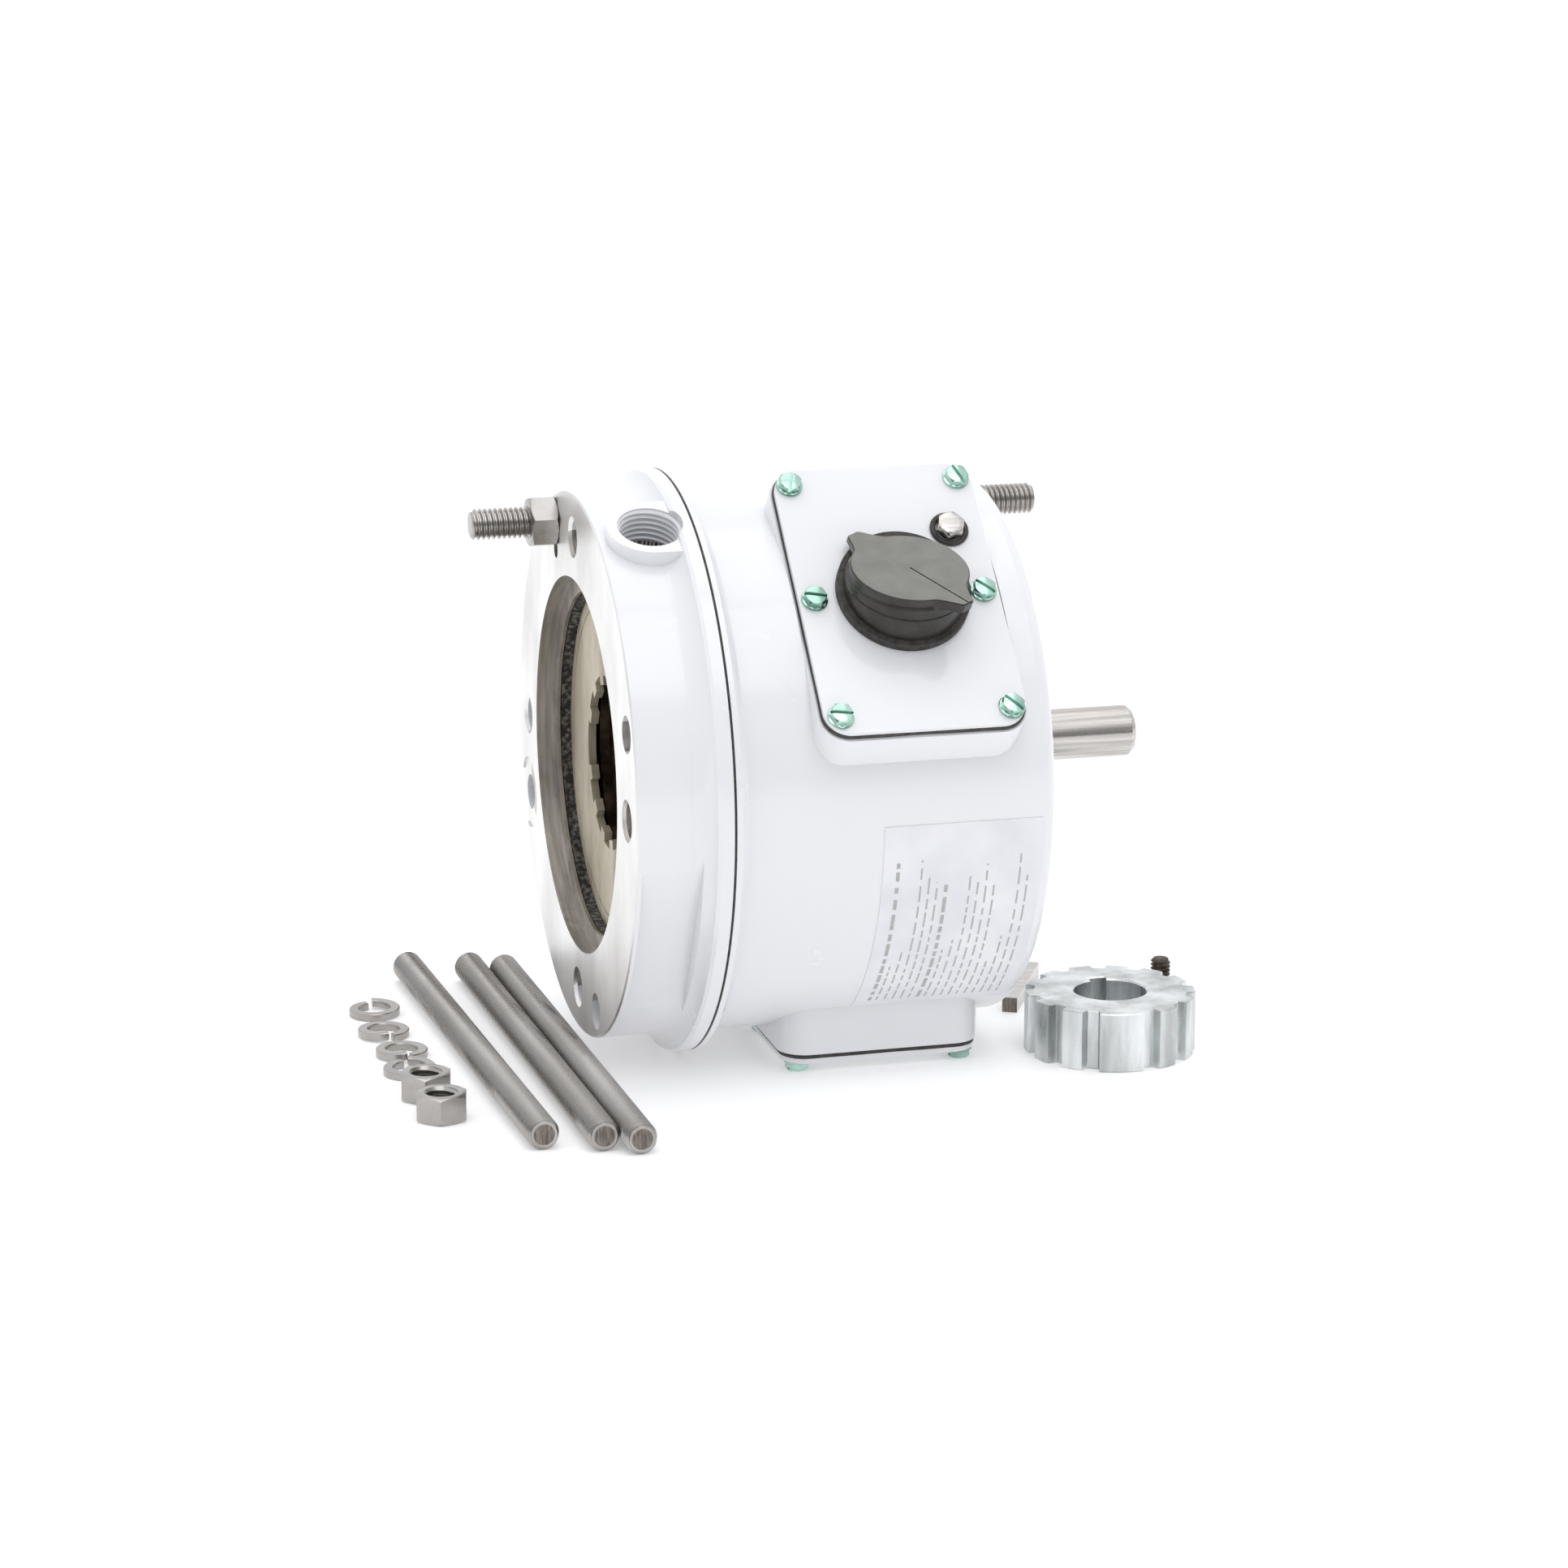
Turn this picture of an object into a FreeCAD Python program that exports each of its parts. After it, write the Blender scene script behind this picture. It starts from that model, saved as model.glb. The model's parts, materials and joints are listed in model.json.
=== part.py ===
"""Spring-set, solenoid-released disc clutch-brake for a C-face motor, with its loose fitting kit.

Frame: origin at the centre of the motor-side mounting face, +X along the shaft towards the
output side, +Z up, +Y to the back. An angle called "turn" is measured about +X, from +Z
towards -Y. Units are millimetres.
"""
import FreeCAD, Part
import math
import os

from FreeCAD import Vector

os.makedirs("parts", exist_ok=True)

# ---- driving dimensions: mounting interfaces, inch standard sizes ----
INCH = 25.4
REGISTER_R = 4.5 * INCH / 2
REGISTER_DEPTH = 5.6
BOLT_CIRCLE_R = 5.875 * INCH / 2
INNER_CIRCLE_R = 5.5 * INCH / 2
BODY_R = 6.5 * INCH / 2
SHAFT_R = 0.625 * INCH / 2
SHAFT_END = 176.5
SEAL_JOURNAL_END = 126.7
PILOT_LENGTH = 4.0
STUD_R = 0.375 * INCH / 2
STUD_LENGTH = 7.0 * INCH
STUD_START = -26.1
STUD_TURN = -20.0
STUD_HOLE_R = 5.55
INNER_HOLE_R = 5.25
INNER_HOLE_DEPTH = 16.0
NUT_FLATS = 0.5625 * INCH
NUT_HEIGHT = 8.3
NUT_TURN = 17.0

# ---- driving dimensions: castings ----
SEAM = 27.2
GASKET_T = 0.8
RIM_R = 88.4
FLOOR_Z = -RIM_R
BRAKE_CAVITY_R = 63.6
HOUSING_START = SEAM + GASKET_T
HOUSING_END = 125.7
CAVITY_R = 76.0
CAVITY_END = 112.0
COLUMN_R = 8.0
TOWER_R = 30.0
TOWER_START = 82.0
CONDUIT_TURN = 24.5
CONDUIT_X = 15.3
CONDUIT_TOP = 86.5
CONDUIT_R = 9.55
CONDUIT_BOSS_R = 12.7
FLAT_TURN = 118.0
FLAT_HEIGHT = 78.0

# ---- driving dimensions: covers, each on its own pad ----
COVER_X = 83.9
COVER_LENGTH = 60.4
COVER_WIDTH = 91.2
COVER_CORNER = 7.8
COVER_T = 1.6
COVER_GASKET_T = 1.4
PAD_LIP = 1.0
WINDOW_LENGTH = 46.0
WINDOW_WIDTH = 72.0
FRONT_TURN = 45.0
FRONT_SEAT = 81.2
BOTTOM_TURN = 180.0
BOTTOM_SEAT = 82.4
SCREW_PITCH_X = 25.5
SCREW_PITCH_Y = 40.2
SCREW_HEAD = 3.0
SCREW_R = 1.55

# ---- driving dimensions: release knob ----
KNOB_R = 18.2
KNOB_X = COVER_X + 1.05
KNOB_Y = 0.5
KNOB_TOP_R = 17.4
KNOB_TOP_SHIFT = (-0.1, 0.85)
KNOB_SKIRT = 0.8
LUG_T = 4.0
KNOB_TILT = 23.0
KNOB_RISE = 12.3
KNOB_SEAL_R = 19.9
KNOB_SEAL_T = 3.0
LUG_TURN = -58.0
SPINDLE_R = 4.0
CAM_LOW = 36.5
CAM_T = 5.0
CAM_REACH = 22.4

# ---- driving dimensions: brake stack, each as its span along X ----
WEAR_PLATE = (5.6, 6.6)
FRONT_LINING = (6.9, 9.9)
CARRIER = (9.9, 12.3)
REAR_LINING = (12.3, 15.3)
PRESSURE_PLATE = (15.6, 21.6)
CUP = (18.0, 40.0)
CUP_SPLINE_END = 34.0
SUPPORT_PLATE = (44.0, 48.0)
LINING_OUT_R = 59.0
LINING_IN_R = 52.0
PIN_R = 2.5
PIN_CIRCLE_R = 64.5
PIN_TURNS = (45.0, 165.0, 285.0)
PIN_EAR_R = 5.4
SPRING_TURNS = (-100.0, 100.0)
SPRING_CIRCLE_R = 50.0
SPRING_R = 6.0
SPRING_WIRE_R = 0.8
LEDGE_TURNS = (10.0, 130.0, 235.0)
LEDGE_R = 60.5

# ---- driving dimensions: spline of the hub, the disc and the cup ----
SPLINE_TIP_R = 26.1
SPLINE_ROOT_R = 23.3
SPLINE_CLEARANCE = 0.35
NARROW_TEETH = 12
NARROW_HALF_DEG = 7.3
WIDE_HALF_DEG = 15.0
GAP_DEG = (360.0 - 2 * WIDE_HALF_DEG - 2 * NARROW_TEETH * NARROW_HALF_DEG) / (NARROW_TEETH + 1)
SPLINE_TURN = -89.0

# ---- driving dimensions: release gear ----
LEVER = (57.0, 61.0)
LEVER_HALF_WIDTH = 22.0
PIVOT_X = 59.0
PIVOT_Z = -38.0
LEVER_PIN_R = 3.0
ROD_Z = -52.0
ROD_R = 3.0
SOLENOID = (66.0, 96.0)
SOLENOID_HALF = 17.0
SOLENOID_LOW = 33.0
SOLENOID_HIGH = 65.0
PLUNGER_Z = 49.0
PLUNGER_HALF = 5.0
SOLENOID_STROKE = 5.0

# ---- driving dimensions: output shaft and its two bearings ----
SEAT_R = 8.5
BEARING_R = 20.0
BEARINGS = ((85.0, 97.0), (108.0, 120.0))
BALL_COUNT = 8
BALL_R = 3.375
BALL_CIRCLE_R = 14.25
KEY_WIDTH = 4.76
KEY_SPAN = (137.5, 173.3)
KEY_TURN = 292.0

LABEL_SPAN = (73.3, 121.4)
LABEL_TURNS = (92.5, 145.0)

# ---- driving dimensions: loose kit ----
HUB_PLACE = (156.5, -43.8)
HUB_HEIGHT = 18.3
HUB_BORE_R = 0.875 * INCH / 2
HUB_KEYWAY = 6.35
HUB_WIDE_TOOTH_DEG = 259.5
SET_SCREW_R = 0.25 * INCH / 2
SET_SCREW_LENGTH = 7.2
SET_SCREW_PLACE = (196.0, 20.0)
LOOSE_KEY_ENDS = ((138.0, -2.0), (157.0, 34.0))
LOOSE_STUD_ENDS = (((-30.5, -95.9), (-38.7, 83.7)), ((-14.3, -100.3), (-19.6, 76.6)),
                   ((-4.5, -106.4), (-9.3, 72.1)))
WASHER_R = 7.9
WASHER_HOLE_R = 4.95
WASHER_T = 2.4
LOOSE_WASHERS = ((-55.2, 46.9, 95.0), (-56.2, 24.5, -80.0), (-54.3, 3.1, -80.0), (-55.1, -14.8, 92.0))
LOOSE_NUTS = ((-54.4, -39.1), (-53.5, -59.1))
NUT_HEADING = 18.0

ORIGIN = Vector(0, 0, 0)
X_AXIS = Vector(1, 0, 0)
Y_AXIS = Vector(0, 1, 0)
Z_AXIS = Vector(0, 0, 1)


# ---- plain shapes ----

def rod(r, x0, x1, y=0.0, z=0.0):
    """Cylinder along X."""
    return Part.makeCylinder(r, x1 - x0, Vector(x0, y, z), X_AXIS)


def ring(r_out, r_in, x0, x1):
    """Ring about the shaft axis."""
    return rod(r_out, x0, x1).cut(rod(r_in, x0 - 1, x1 + 1))


def post(r, z0, z1, x=0.0, y=0.0):
    """Cylinder along Z."""
    return Part.makeCylinder(r, z1 - z0, Vector(x, y, z0))


def cross_rod(r, half_length, x, z):
    """Cylinder along Y, centred on the middle plane."""
    return Part.makeCylinder(r, 2 * half_length, Vector(x, -half_length, z), Y_AXIS)


def block(x0, x1, y0, y1, z0, z1):
    return Part.makeBox(x1 - x0, y1 - y0, z1 - z0, Vector(x0, y0, z0))


def rounded_block(length, width, corner, z0, z1, x=0.0, y=0.0):
    """Upright prism with rounded corners, centred at x, y."""
    solid = block(x - length / 2, x + length / 2, y - width / 2, y + width / 2, z0, z1)
    upright = [e for e in solid.Edges if e.BoundBox.ZLength > 0.9 * (z1 - z0)]
    return solid.makeFillet(corner, upright)


def hexagon(flats, z0, z1, x=0.0, y=0.0, spin=0.0):
    """Upright hexagonal prism; spin 0 points a corner along +X."""
    r = flats / math.sqrt(3)
    corners = []
    for k in range(7):
        a = math.radians(spin + 60 * k)
        corners.append(Vector(x + r * math.cos(a), y + r * math.sin(a), z0))
    return Part.Face(Part.makePolygon(corners)).extrude(Vector(0, 0, z1 - z0))


def revolve(points):
    """Solid of revolution about X from (x, r) points; a pair of points is an arc: middle, end."""
    def place(point):
        return Vector(point[0], 0, point[1])

    edges = []
    here = points[0]
    for item in points[1:] + points[:1]:
        if isinstance(item[0], tuple):
            edges.append(Part.Arc(place(here), place(item[0]), place(item[1])).toShape())
            here = item[1]
        else:
            edges.append(Part.makeLine(place(here), place(item)))
            here = item
    return Part.Face(Part.Wire(edges)).revolve(ORIGIN, X_AXIS, 360)


# ---- placing and joining ----

def turned(shape, turn):
    """A copy turned about the shaft axis; +Z goes towards -Y."""
    copy = shape.copy()
    copy.rotate(ORIGIN, X_AXIS, turn)
    return copy


def polar(turn, r):
    """The y and z of a point at this turn and radius."""
    a = math.radians(turn)
    return -r * math.sin(a), r * math.cos(a)


def around(shape, turns):
    return [turned(shape, t) for t in turns]


def quarter_turns(start):
    return [start + 90 * k for k in range(4)]


def along_x(shape, direction=1):
    """Lay an upright shape down, its +Z end towards +X or -X."""
    copy = shape.copy()
    copy.rotate(ORIGIN, Y_AXIS, 90 * direction)
    return copy


def moved(shape, x, y, z):
    copy = shape.copy()
    copy.translate(Vector(x, y, z))
    return copy


def union(shapes):
    return shapes[0].multiFuse(shapes[1:]).removeSplitter()


def cut_all(shape, tools):
    return shape.cut(tools) if tools else shape


def save(name, made):
    """Write one node: a solid, or a group of separate solids."""
    shapes = made if isinstance(made, list) else [made]
    solids = [solid for shape in shapes for solid in shape.Solids]
    for solid in solids:
        assert solid.isValid(), name
    whole = solids[0] if len(solids) == 1 else Part.makeCompound(solids)
    whole.exportStep("parts/" + name + ".step")
    print(name, len(solids), round(sum(s.Volume for s in solids), 1))


# ---- end plate: the motor-side casting ----

def stud_holes():
    return around(rod(STUD_HOLE_R, -5, 140, 0, BOLT_CIRCLE_R), quarter_turns(STUD_TURN))


def inner_circle_holes():
    """Tapped holes of the smaller bolt circle: blind, with a countersunk mouth."""
    hole = rod(INNER_HOLE_R, -1, INNER_HOLE_DEPTH, 0, INNER_CIRCLE_R)
    mouth = Part.makeCone(INNER_HOLE_R + 1.0, INNER_HOLE_R, 1.0, Vector(0, 0, INNER_CIRCLE_R), X_AXIS)
    return around(hole.fuse(mouth), quarter_turns(0.0))


def conduit_boss():
    """Flat-topped boss that runs straight back to the seam, turned to its place."""
    drum = post(CONDUIT_BOSS_R, 60.0, CONDUIT_TOP, CONDUIT_X)
    shelf = block(CONDUIT_X, SEAM, -CONDUIT_BOSS_R, CONDUIT_BOSS_R, 60.0, CONDUIT_TOP)
    return turned(drum.fuse(shelf), CONDUIT_TURN)


def pin_pockets():
    """Clearance for the ears of the brake plates, with the pins' blind seats in front of them."""
    pocket = rod(PIN_EAR_R + 0.8, WEAR_PLATE[0], SEAM + 1, 0, PIN_CIRCLE_R)
    seat = rod(PIN_R, WEAR_PLATE[0] - 3.0, WEAR_PLATE[0] + 1, 0, PIN_CIRCLE_R)
    return around(pocket.fuse(seat), PIN_TURNS)


def end_plate():
    flare_start = (16.8, BODY_R)
    flare_end = (22.6, RIM_R - 0.6)
    flare_middle = (20.5, BODY_R + 1.9)
    body = revolve([(0, 0), (0, BODY_R - 0.5), (0.5, BODY_R), flare_start, (flare_middle, flare_end),
                    (23.6, RIM_R), (SEAM, RIM_R), (SEAM, 0)])
    flat = turned(block(1.6, 19.5, -60, 60, FLAT_HEIGHT, 95), FLAT_TURN)
    boss = conduit_boss().common(rod(RIM_R + 30, 0, SEAM))
    body = body.cut(flat).fuse(boss)
    register = rod(REGISTER_R, -1, REGISTER_DEPTH)
    cavity = rod(BRAKE_CAVITY_R, REGISTER_DEPTH, SEAM + 1)
    conduit = turned(post(CONDUIT_R, 60.0, 95.0, CONDUIT_X), CONDUIT_TURN)
    vent = turned(rod(2.6, -1, 4.6, 0, 66.2), STUD_TURN - 1.5)
    spot_face = turned(rod(11.3, -1, 0.6, 0, BOLT_CIRCLE_R), STUD_TURN - 90)
    tools = [register, cavity, conduit, vent, spot_face.cut(rod(REGISTER_R + 4, -2, 2))]
    return cut_all(body, tools + stud_holes() + inner_circle_holes() + pin_pockets()).removeSplitter()


def seam_gasket():
    return cut_all(ring(RIM_R - 0.5, BRAKE_CAVITY_R + 8.0, SEAM, HOUSING_START), stud_holes())


# ---- housing: the output-side casting ----

def pad_outline(z0, z1):
    return rounded_block(COVER_LENGTH + 2 * PAD_LIP, COVER_WIDTH + 2 * PAD_LIP,
                         COVER_CORNER + PAD_LIP, z0, z1, COVER_X)


def pad_screw_points():
    return [(COVER_X + sx * SCREW_PITCH_X, sy * SCREW_PITCH_Y) for sx in (-1, 1) for sy in (-1, 0, 1)]


def pad_openings():
    """Window and blind screw holes of a cover pad, still facing +Z."""
    window = rounded_block(WINDOW_LENGTH, WINDOW_WIDTH, 5.0, 40.0, 95.0, COVER_X)
    return [window] + [post(SCREW_R, 77.5, 90.0, x, y) for x, y in pad_screw_points()]


def bearing_bore():
    """Bore from the inside for the bearings, a snap ring groove, and the seal's smaller bore."""
    bearing = rod(BEARING_R, TOWER_START - 1, BEARINGS[1][1])
    groove = rod(BEARING_R + 1.0, BEARINGS[0][0] - 1.4, BEARINGS[0][0])
    seal = rod(16.5, BEARINGS[1][1] - 1, HOUSING_END + PILOT_LENGTH + 1)
    return union([bearing, groove, seal])


def housing():
    x0, x1 = HOUSING_START, HOUSING_END
    edge = 4.0
    diagonal = edge * (1 - math.sqrt(0.5))
    shell = revolve([(x0, 0), (x0, RIM_R), (x0 + 1.6, RIM_R), (x0 + 2.6, RIM_R - 1.0),
                     ((x0 + 3.0, BODY_R + 1.6), (x0 + 5.0, BODY_R)), (x1 - edge, BODY_R),
                     ((x1 - diagonal, BODY_R - diagonal), (x1, BODY_R - edge)), (x1, REGISTER_R),
                     (x1 + PILOT_LENGTH - 0.6, REGISTER_R), (x1 + PILOT_LENGTH, REGISTER_R - 0.6),
                     (x1 + PILOT_LENGTH, 0)])
    for turn, seat in ((FRONT_TURN, FRONT_SEAT), (BOTTOM_TURN, BOTTOM_SEAT)):
        shell = shell.fuse(turned(pad_outline(50.0, seat), turn))
        shell = shell.cut(turned(pad_outline(seat, 95.0), turn))
    cavity = rod(CAVITY_R, x0 - 1, CAVITY_END)
    windows = [turned(t, turn) for turn in (FRONT_TURN, BOTTOM_TURN) for t in pad_openings()]
    shell = cut_all(shell, [cavity] + windows)
    column = rod(COLUMN_R, x0, CAVITY_END + 1, 0, BOLT_CIRCLE_R).common(rod(BODY_R - 1, 0, 200))
    ledge = block(SUPPORT_PLATE[1], SUPPORT_PLATE[1] + 8.0, -7.0, 7.0, LEDGE_R - 3.5, CAVITY_R + 2)
    inside = around(column, quarter_turns(STUD_TURN)) + around(ledge, LEDGE_TURNS)
    shell = union([shell, rod(TOWER_R, TOWER_START, CAVITY_END + 1)] + inside)
    ledge_screws = around(rod(1.65, SUPPORT_PLATE[1] - 1, SUPPORT_PLATE[1] + 6.5, 0, LEDGE_R), LEDGE_TURNS)
    bracket_screws = [rod(1.65, CAVITY_END - 1, CAVITY_END + 6.5, y, 45.0) for y in (-10.0, 10.0)]
    return cut_all(shell, [bearing_bore()] + stud_holes() + ledge_screws + bracket_screws).removeSplitter()


# ---- covers, with local +Z as their outward normal before they are turned ----

FRONT_FACE = FRONT_SEAT + COVER_GASKET_T + COVER_T
BOTTOM_FACE = BOTTOM_SEAT + COVER_GASKET_T + COVER_T
PLUG_WASHER_T = 1.2
PLUG_POINT = (COVER_X + 19.6, 21.8)


def screw_clearance_holes():
    return [post(2.3, 70.0, 95.0, x, y) for x, y in pad_screw_points()]


def cover_sheet(face, extra_holes):
    sheet = rounded_block(COVER_LENGTH, COVER_WIDTH, COVER_CORNER, face - COVER_T, face, COVER_X)
    return cut_all(sheet, screw_clearance_holes() + extra_holes)


def front_cover():
    holes = [post(SPINDLE_R + 1.0, 70, 95, KNOB_X, KNOB_Y), post(3.3, 70, 95, *PLUG_POINT)]
    return turned(cover_sheet(FRONT_FACE, holes), FRONT_TURN)


def bottom_cover():
    return turned(cover_sheet(BOTTOM_FACE, []), BOTTOM_TURN)


def cover_gasket(seat, turn):
    sheet = rounded_block(COVER_LENGTH + 0.3, COVER_WIDTH + 0.3, COVER_CORNER, seat, seat + COVER_GASKET_T,
                          COVER_X)
    window = rounded_block(WINDOW_LENGTH, WINDOW_WIDTH, 5.0, 70.0, 95.0, COVER_X)
    return turned(cut_all(sheet, screw_clearance_holes() + [window]), turn)


def hex_washer_screw(x, y, face, slot_deg):
    """Slotted hex washer-head screw standing on a cover, its shank in the pad."""
    washer = post(4.2, face, face + 0.8, x, y)
    head = hexagon(6.35, face, face + SCREW_HEAD, x, y, slot_deg)
    slot = block(-5, 5, -0.55, 0.55, face + SCREW_HEAD - 1.2, face + SCREW_HEAD + 1)
    slot.rotate(ORIGIN, Z_AXIS, slot_deg)
    shank = post(SCREW_R - 0.02, 78.0, face, x, y)
    return washer.fuse(head).cut(moved(slot, x, y, 0)).fuse(shank).removeSplitter()


def cover_screws(face, turn, slots):
    return [turned(hex_washer_screw(x, y, face, slot), turn)
            for (x, y), slot in zip(pad_screw_points(), slots)]


def inspection_plug():
    top = FRONT_FACE + PLUG_WASHER_T
    head = hexagon(7.6, top, top + 3.2, *PLUG_POINT, 12.0)
    return turned(head.fuse(post(3.2, top - 10.0, top, *PLUG_POINT)).removeSplitter(), FRONT_TURN)


def plug_washer():
    washer = post(5.85, FRONT_FACE, FRONT_FACE + PLUG_WASHER_T, *PLUG_POINT)
    return turned(washer.cut(post(3.25, 70, 95, *PLUG_POINT)), FRONT_TURN)


# ---- release knob: on the front cover's own normal ----

KNOB_BASE = FRONT_FACE + KNOB_SEAL_T + 0.2
SPINDLE_TOP = KNOB_BASE + 2.5


def slant_place():
    """Placement of the slanting top face, its own +Z outward."""
    return FreeCAD.Placement(Vector(KNOB_X + KNOB_TOP_SHIFT[0], KNOB_Y + KNOB_TOP_SHIFT[1], FRONT_FACE + KNOB_RISE),
                             FreeCAD.Rotation(X_AXIS, -KNOB_TILT))


def knob_body():
    """Drum that leans from a round base on the cover to a round slanting top."""
    base = Part.Wire(Part.makeCircle(KNOB_R, Vector(KNOB_X, KNOB_Y, KNOB_BASE + KNOB_SKIRT), Z_AXIS))
    top = Part.Wire(Part.makeCircle(KNOB_TOP_R))
    top.Placement = slant_place()
    return Part.makeLoft([base, top], True)


def knob_lugs():
    """Two pointed lugs across the drum; their tops lie in the slanting face."""
    reach, half_tip, shoulder, half_width = 23.3, 2.0, 15.0, 7.5
    outline = [(-reach, -half_tip), (-reach, half_tip), (-shoulder, half_width), (shoulder, half_width),
               (reach, half_tip), (reach, -half_tip), (shoulder, -half_width), (-shoulder, -half_width)]
    corners = [Vector(x, y, 0) for x, y in outline + outline[:1]]
    bar = Part.Face(Part.makePolygon(corners)).extrude(Vector(0, 0, -LUG_T))
    bar.rotate(ORIGIN, Z_AXIS, LUG_TURN)
    bar.Placement = slant_place().multiply(bar.Placement)
    return bar.common(post(30.0, KNOB_BASE, KNOB_BASE + 40.0, KNOB_X, KNOB_Y))


def release_knob():
    skirt = post(KNOB_R, KNOB_BASE, KNOB_BASE + KNOB_SKIRT, KNOB_X, KNOB_Y)
    body = union([skirt, knob_body(), knob_lugs()])
    return turned(body.cut(post(SPINDLE_R, 80, SPINDLE_TOP, KNOB_X, KNOB_Y)), FRONT_TURN)


def knob_seal():
    seal = post(KNOB_SEAL_R, FRONT_FACE, FRONT_FACE + KNOB_SEAL_T, KNOB_X, KNOB_Y)
    return turned(seal.cut(post(SPINDLE_R + 0.05, 70, 99, KNOB_X, KNOB_Y)), FRONT_TURN)


def cam_spindle():
    """Knob spindle that ends inside the housing in the cam arm of the hand release."""
    high = CAM_LOW + CAM_T
    spindle = post(SPINDLE_R, CAM_LOW, SPINDLE_TOP, KNOB_X, KNOB_Y)
    hub = post(6.0, CAM_LOW, high, KNOB_X, KNOB_Y)
    arm = block(KNOB_X - 3.5, KNOB_X + 3.5, KNOB_Y - CAM_REACH, KNOB_Y, CAM_LOW, high)
    return turned(union([spindle, hub, arm]), FRONT_TURN)


# ---- spline shared by the motor hub, the friction disc and the cup ----

def tooth(half_deg, x0, x1):
    """Wedge that spans one tooth; its own +Z side is the middle of the tooth."""
    reach = 60.0
    corners = [Vector(x0, 0, 0)]
    for turn in (-half_deg, half_deg):
        y, z = polar(turn, reach)
        corners.append(Vector(x0, y, z))
    return Part.Face(Part.makePolygon(corners + corners[:1])).extrude(Vector(x1 - x0, 0, 0))


def splined_prism(growth, x0, x1):
    """The hub's toothed outline, grown by a clearance, with its wide tooth at +Z."""
    extra_deg = math.degrees(growth / SPLINE_TIP_R)
    first = WIDE_HALF_DEG + GAP_DEG + NARROW_HALF_DEG
    pitch = GAP_DEG + 2 * NARROW_HALF_DEG
    wedges = [tooth(WIDE_HALF_DEG + extra_deg, x0, x1)]
    wedges += around(tooth(NARROW_HALF_DEG + extra_deg, x0, x1),
                     [first + pitch * k for k in range(NARROW_TEETH)])
    band = rod(SPLINE_TIP_R + growth, x0, x1)
    teeth = [wedge.common(band) for wedge in wedges]
    return union([rod(SPLINE_ROOT_R + growth, x0, x1)] + teeth)


# ---- brake stack ----

def pin_holes(x0, x1, clearance):
    """The guide pins' cylinders, grown by a clearance where they are to cut holes."""
    return around(rod(PIN_R + clearance, x0, x1, 0, PIN_CIRCLE_R), PIN_TURNS)


def eared_plate(span, r_in, clearance):
    """Ring with an ear round each guide pin."""
    x0, x1 = span
    ears = around(rod(PIN_EAR_R, x0, x1, 0, PIN_CIRCLE_R), PIN_TURNS)
    plate = union([rod(BRAKE_CAVITY_R - 0.6, x0, x1)] + ears)
    return cut_all(plate, [rod(r_in, x0 - 1, x1 + 1)] + pin_holes(x0 - 1, x1 + 1, clearance))


def wear_plate():
    return eared_plate(WEAR_PLATE, LINING_IN_R + 0.3, 0.0)


def friction_disc():
    x0, x1 = CARRIER
    disc = rod(LINING_OUT_R, x0, x1)
    groove = ring(48.3, 47.7, x0 - 1, x0 + 0.4)
    socket = turned(splined_prism(SPLINE_CLEARANCE, x0 - 1, x1 + 1), SPLINE_TURN)
    return cut_all(disc, [groove, socket])


def friction_linings():
    return [ring(LINING_OUT_R, LINING_IN_R, *span) for span in (FRONT_LINING, REAR_LINING)]


def pressure_plate():
    return eared_plate(PRESSURE_PLATE, 36.0, 0.08).cut(rod(ROD_R, 10, 30, 0, ROD_Z))


def release_rod():
    """Draw rod fixed in the pressure plate; the lever pulls on its head."""
    stem = rod(ROD_R, PRESSURE_PLATE[0], LEVER[1] + 4.0, 0, ROD_Z)
    head = rod(6.0, LEVER[1] + 0.4, LEVER[1] + 4.0, 0, ROD_Z)
    return stem.fuse(head).removeSplitter()


def guide_pins():
    return pin_holes(WEAR_PLATE[0] - 3.0, SUPPORT_PLATE[1], 0.0)


def pressure_spring(turn):
    """Helical spring between the pressure plate and the support plate."""
    gap = SPRING_WIRE_R + 0.02
    x0 = PRESSURE_PLATE[1] + gap
    length = SUPPORT_PLATE[0] - gap - x0
    helix = Part.makeHelix(length / 7.0, length, SPRING_R)
    wire = Part.Wire(Part.makeCircle(SPRING_WIRE_R, Vector(SPRING_R, 0, 0), Y_AXIS))
    coil = Part.Wire(helix.Edges).makePipeShell([wire], True, True)
    y, z = polar(turn, SPRING_CIRCLE_R)
    return moved(along_x(coil), x0, y, z)


def pressure_springs():
    return [pressure_spring(turn) for turn in SPRING_TURNS]


def support_plate():
    x0, x1 = SUPPORT_PLATE
    plate = ring(69.5, 36.0, x0, x1)
    columns = around(rod(COLUMN_R + 0.8, x0 - 1, x1 + 1, 0, BOLT_CIRCLE_R), quarter_turns(STUD_TURN))
    screws = around(rod(2.1, x0 - 1, x1 + 1, 0, LEDGE_R), LEDGE_TURNS)
    rod_hole = rod(ROD_R + 1.0, x0 - 1, x1 + 1, 0, ROD_Z)
    return cut_all(plate, columns + screws + [rod_hole] + pin_holes(x0 - 1, x1 + 1, 0.0))


def cap_screw(x, y, z, length):
    """Round-headed machine screw along +X, its head's seat at x."""
    head = rod(3.4, x - 2.4, x, y, z)
    return head.fuse(rod(1.6, x, x + length, y, z)).removeSplitter()


def support_plate_screws():
    return around(cap_screw(SUPPORT_PLATE[0], 0, LEDGE_R, 9.5), LEDGE_TURNS)


# ---- release lever and solenoid ----

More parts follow.
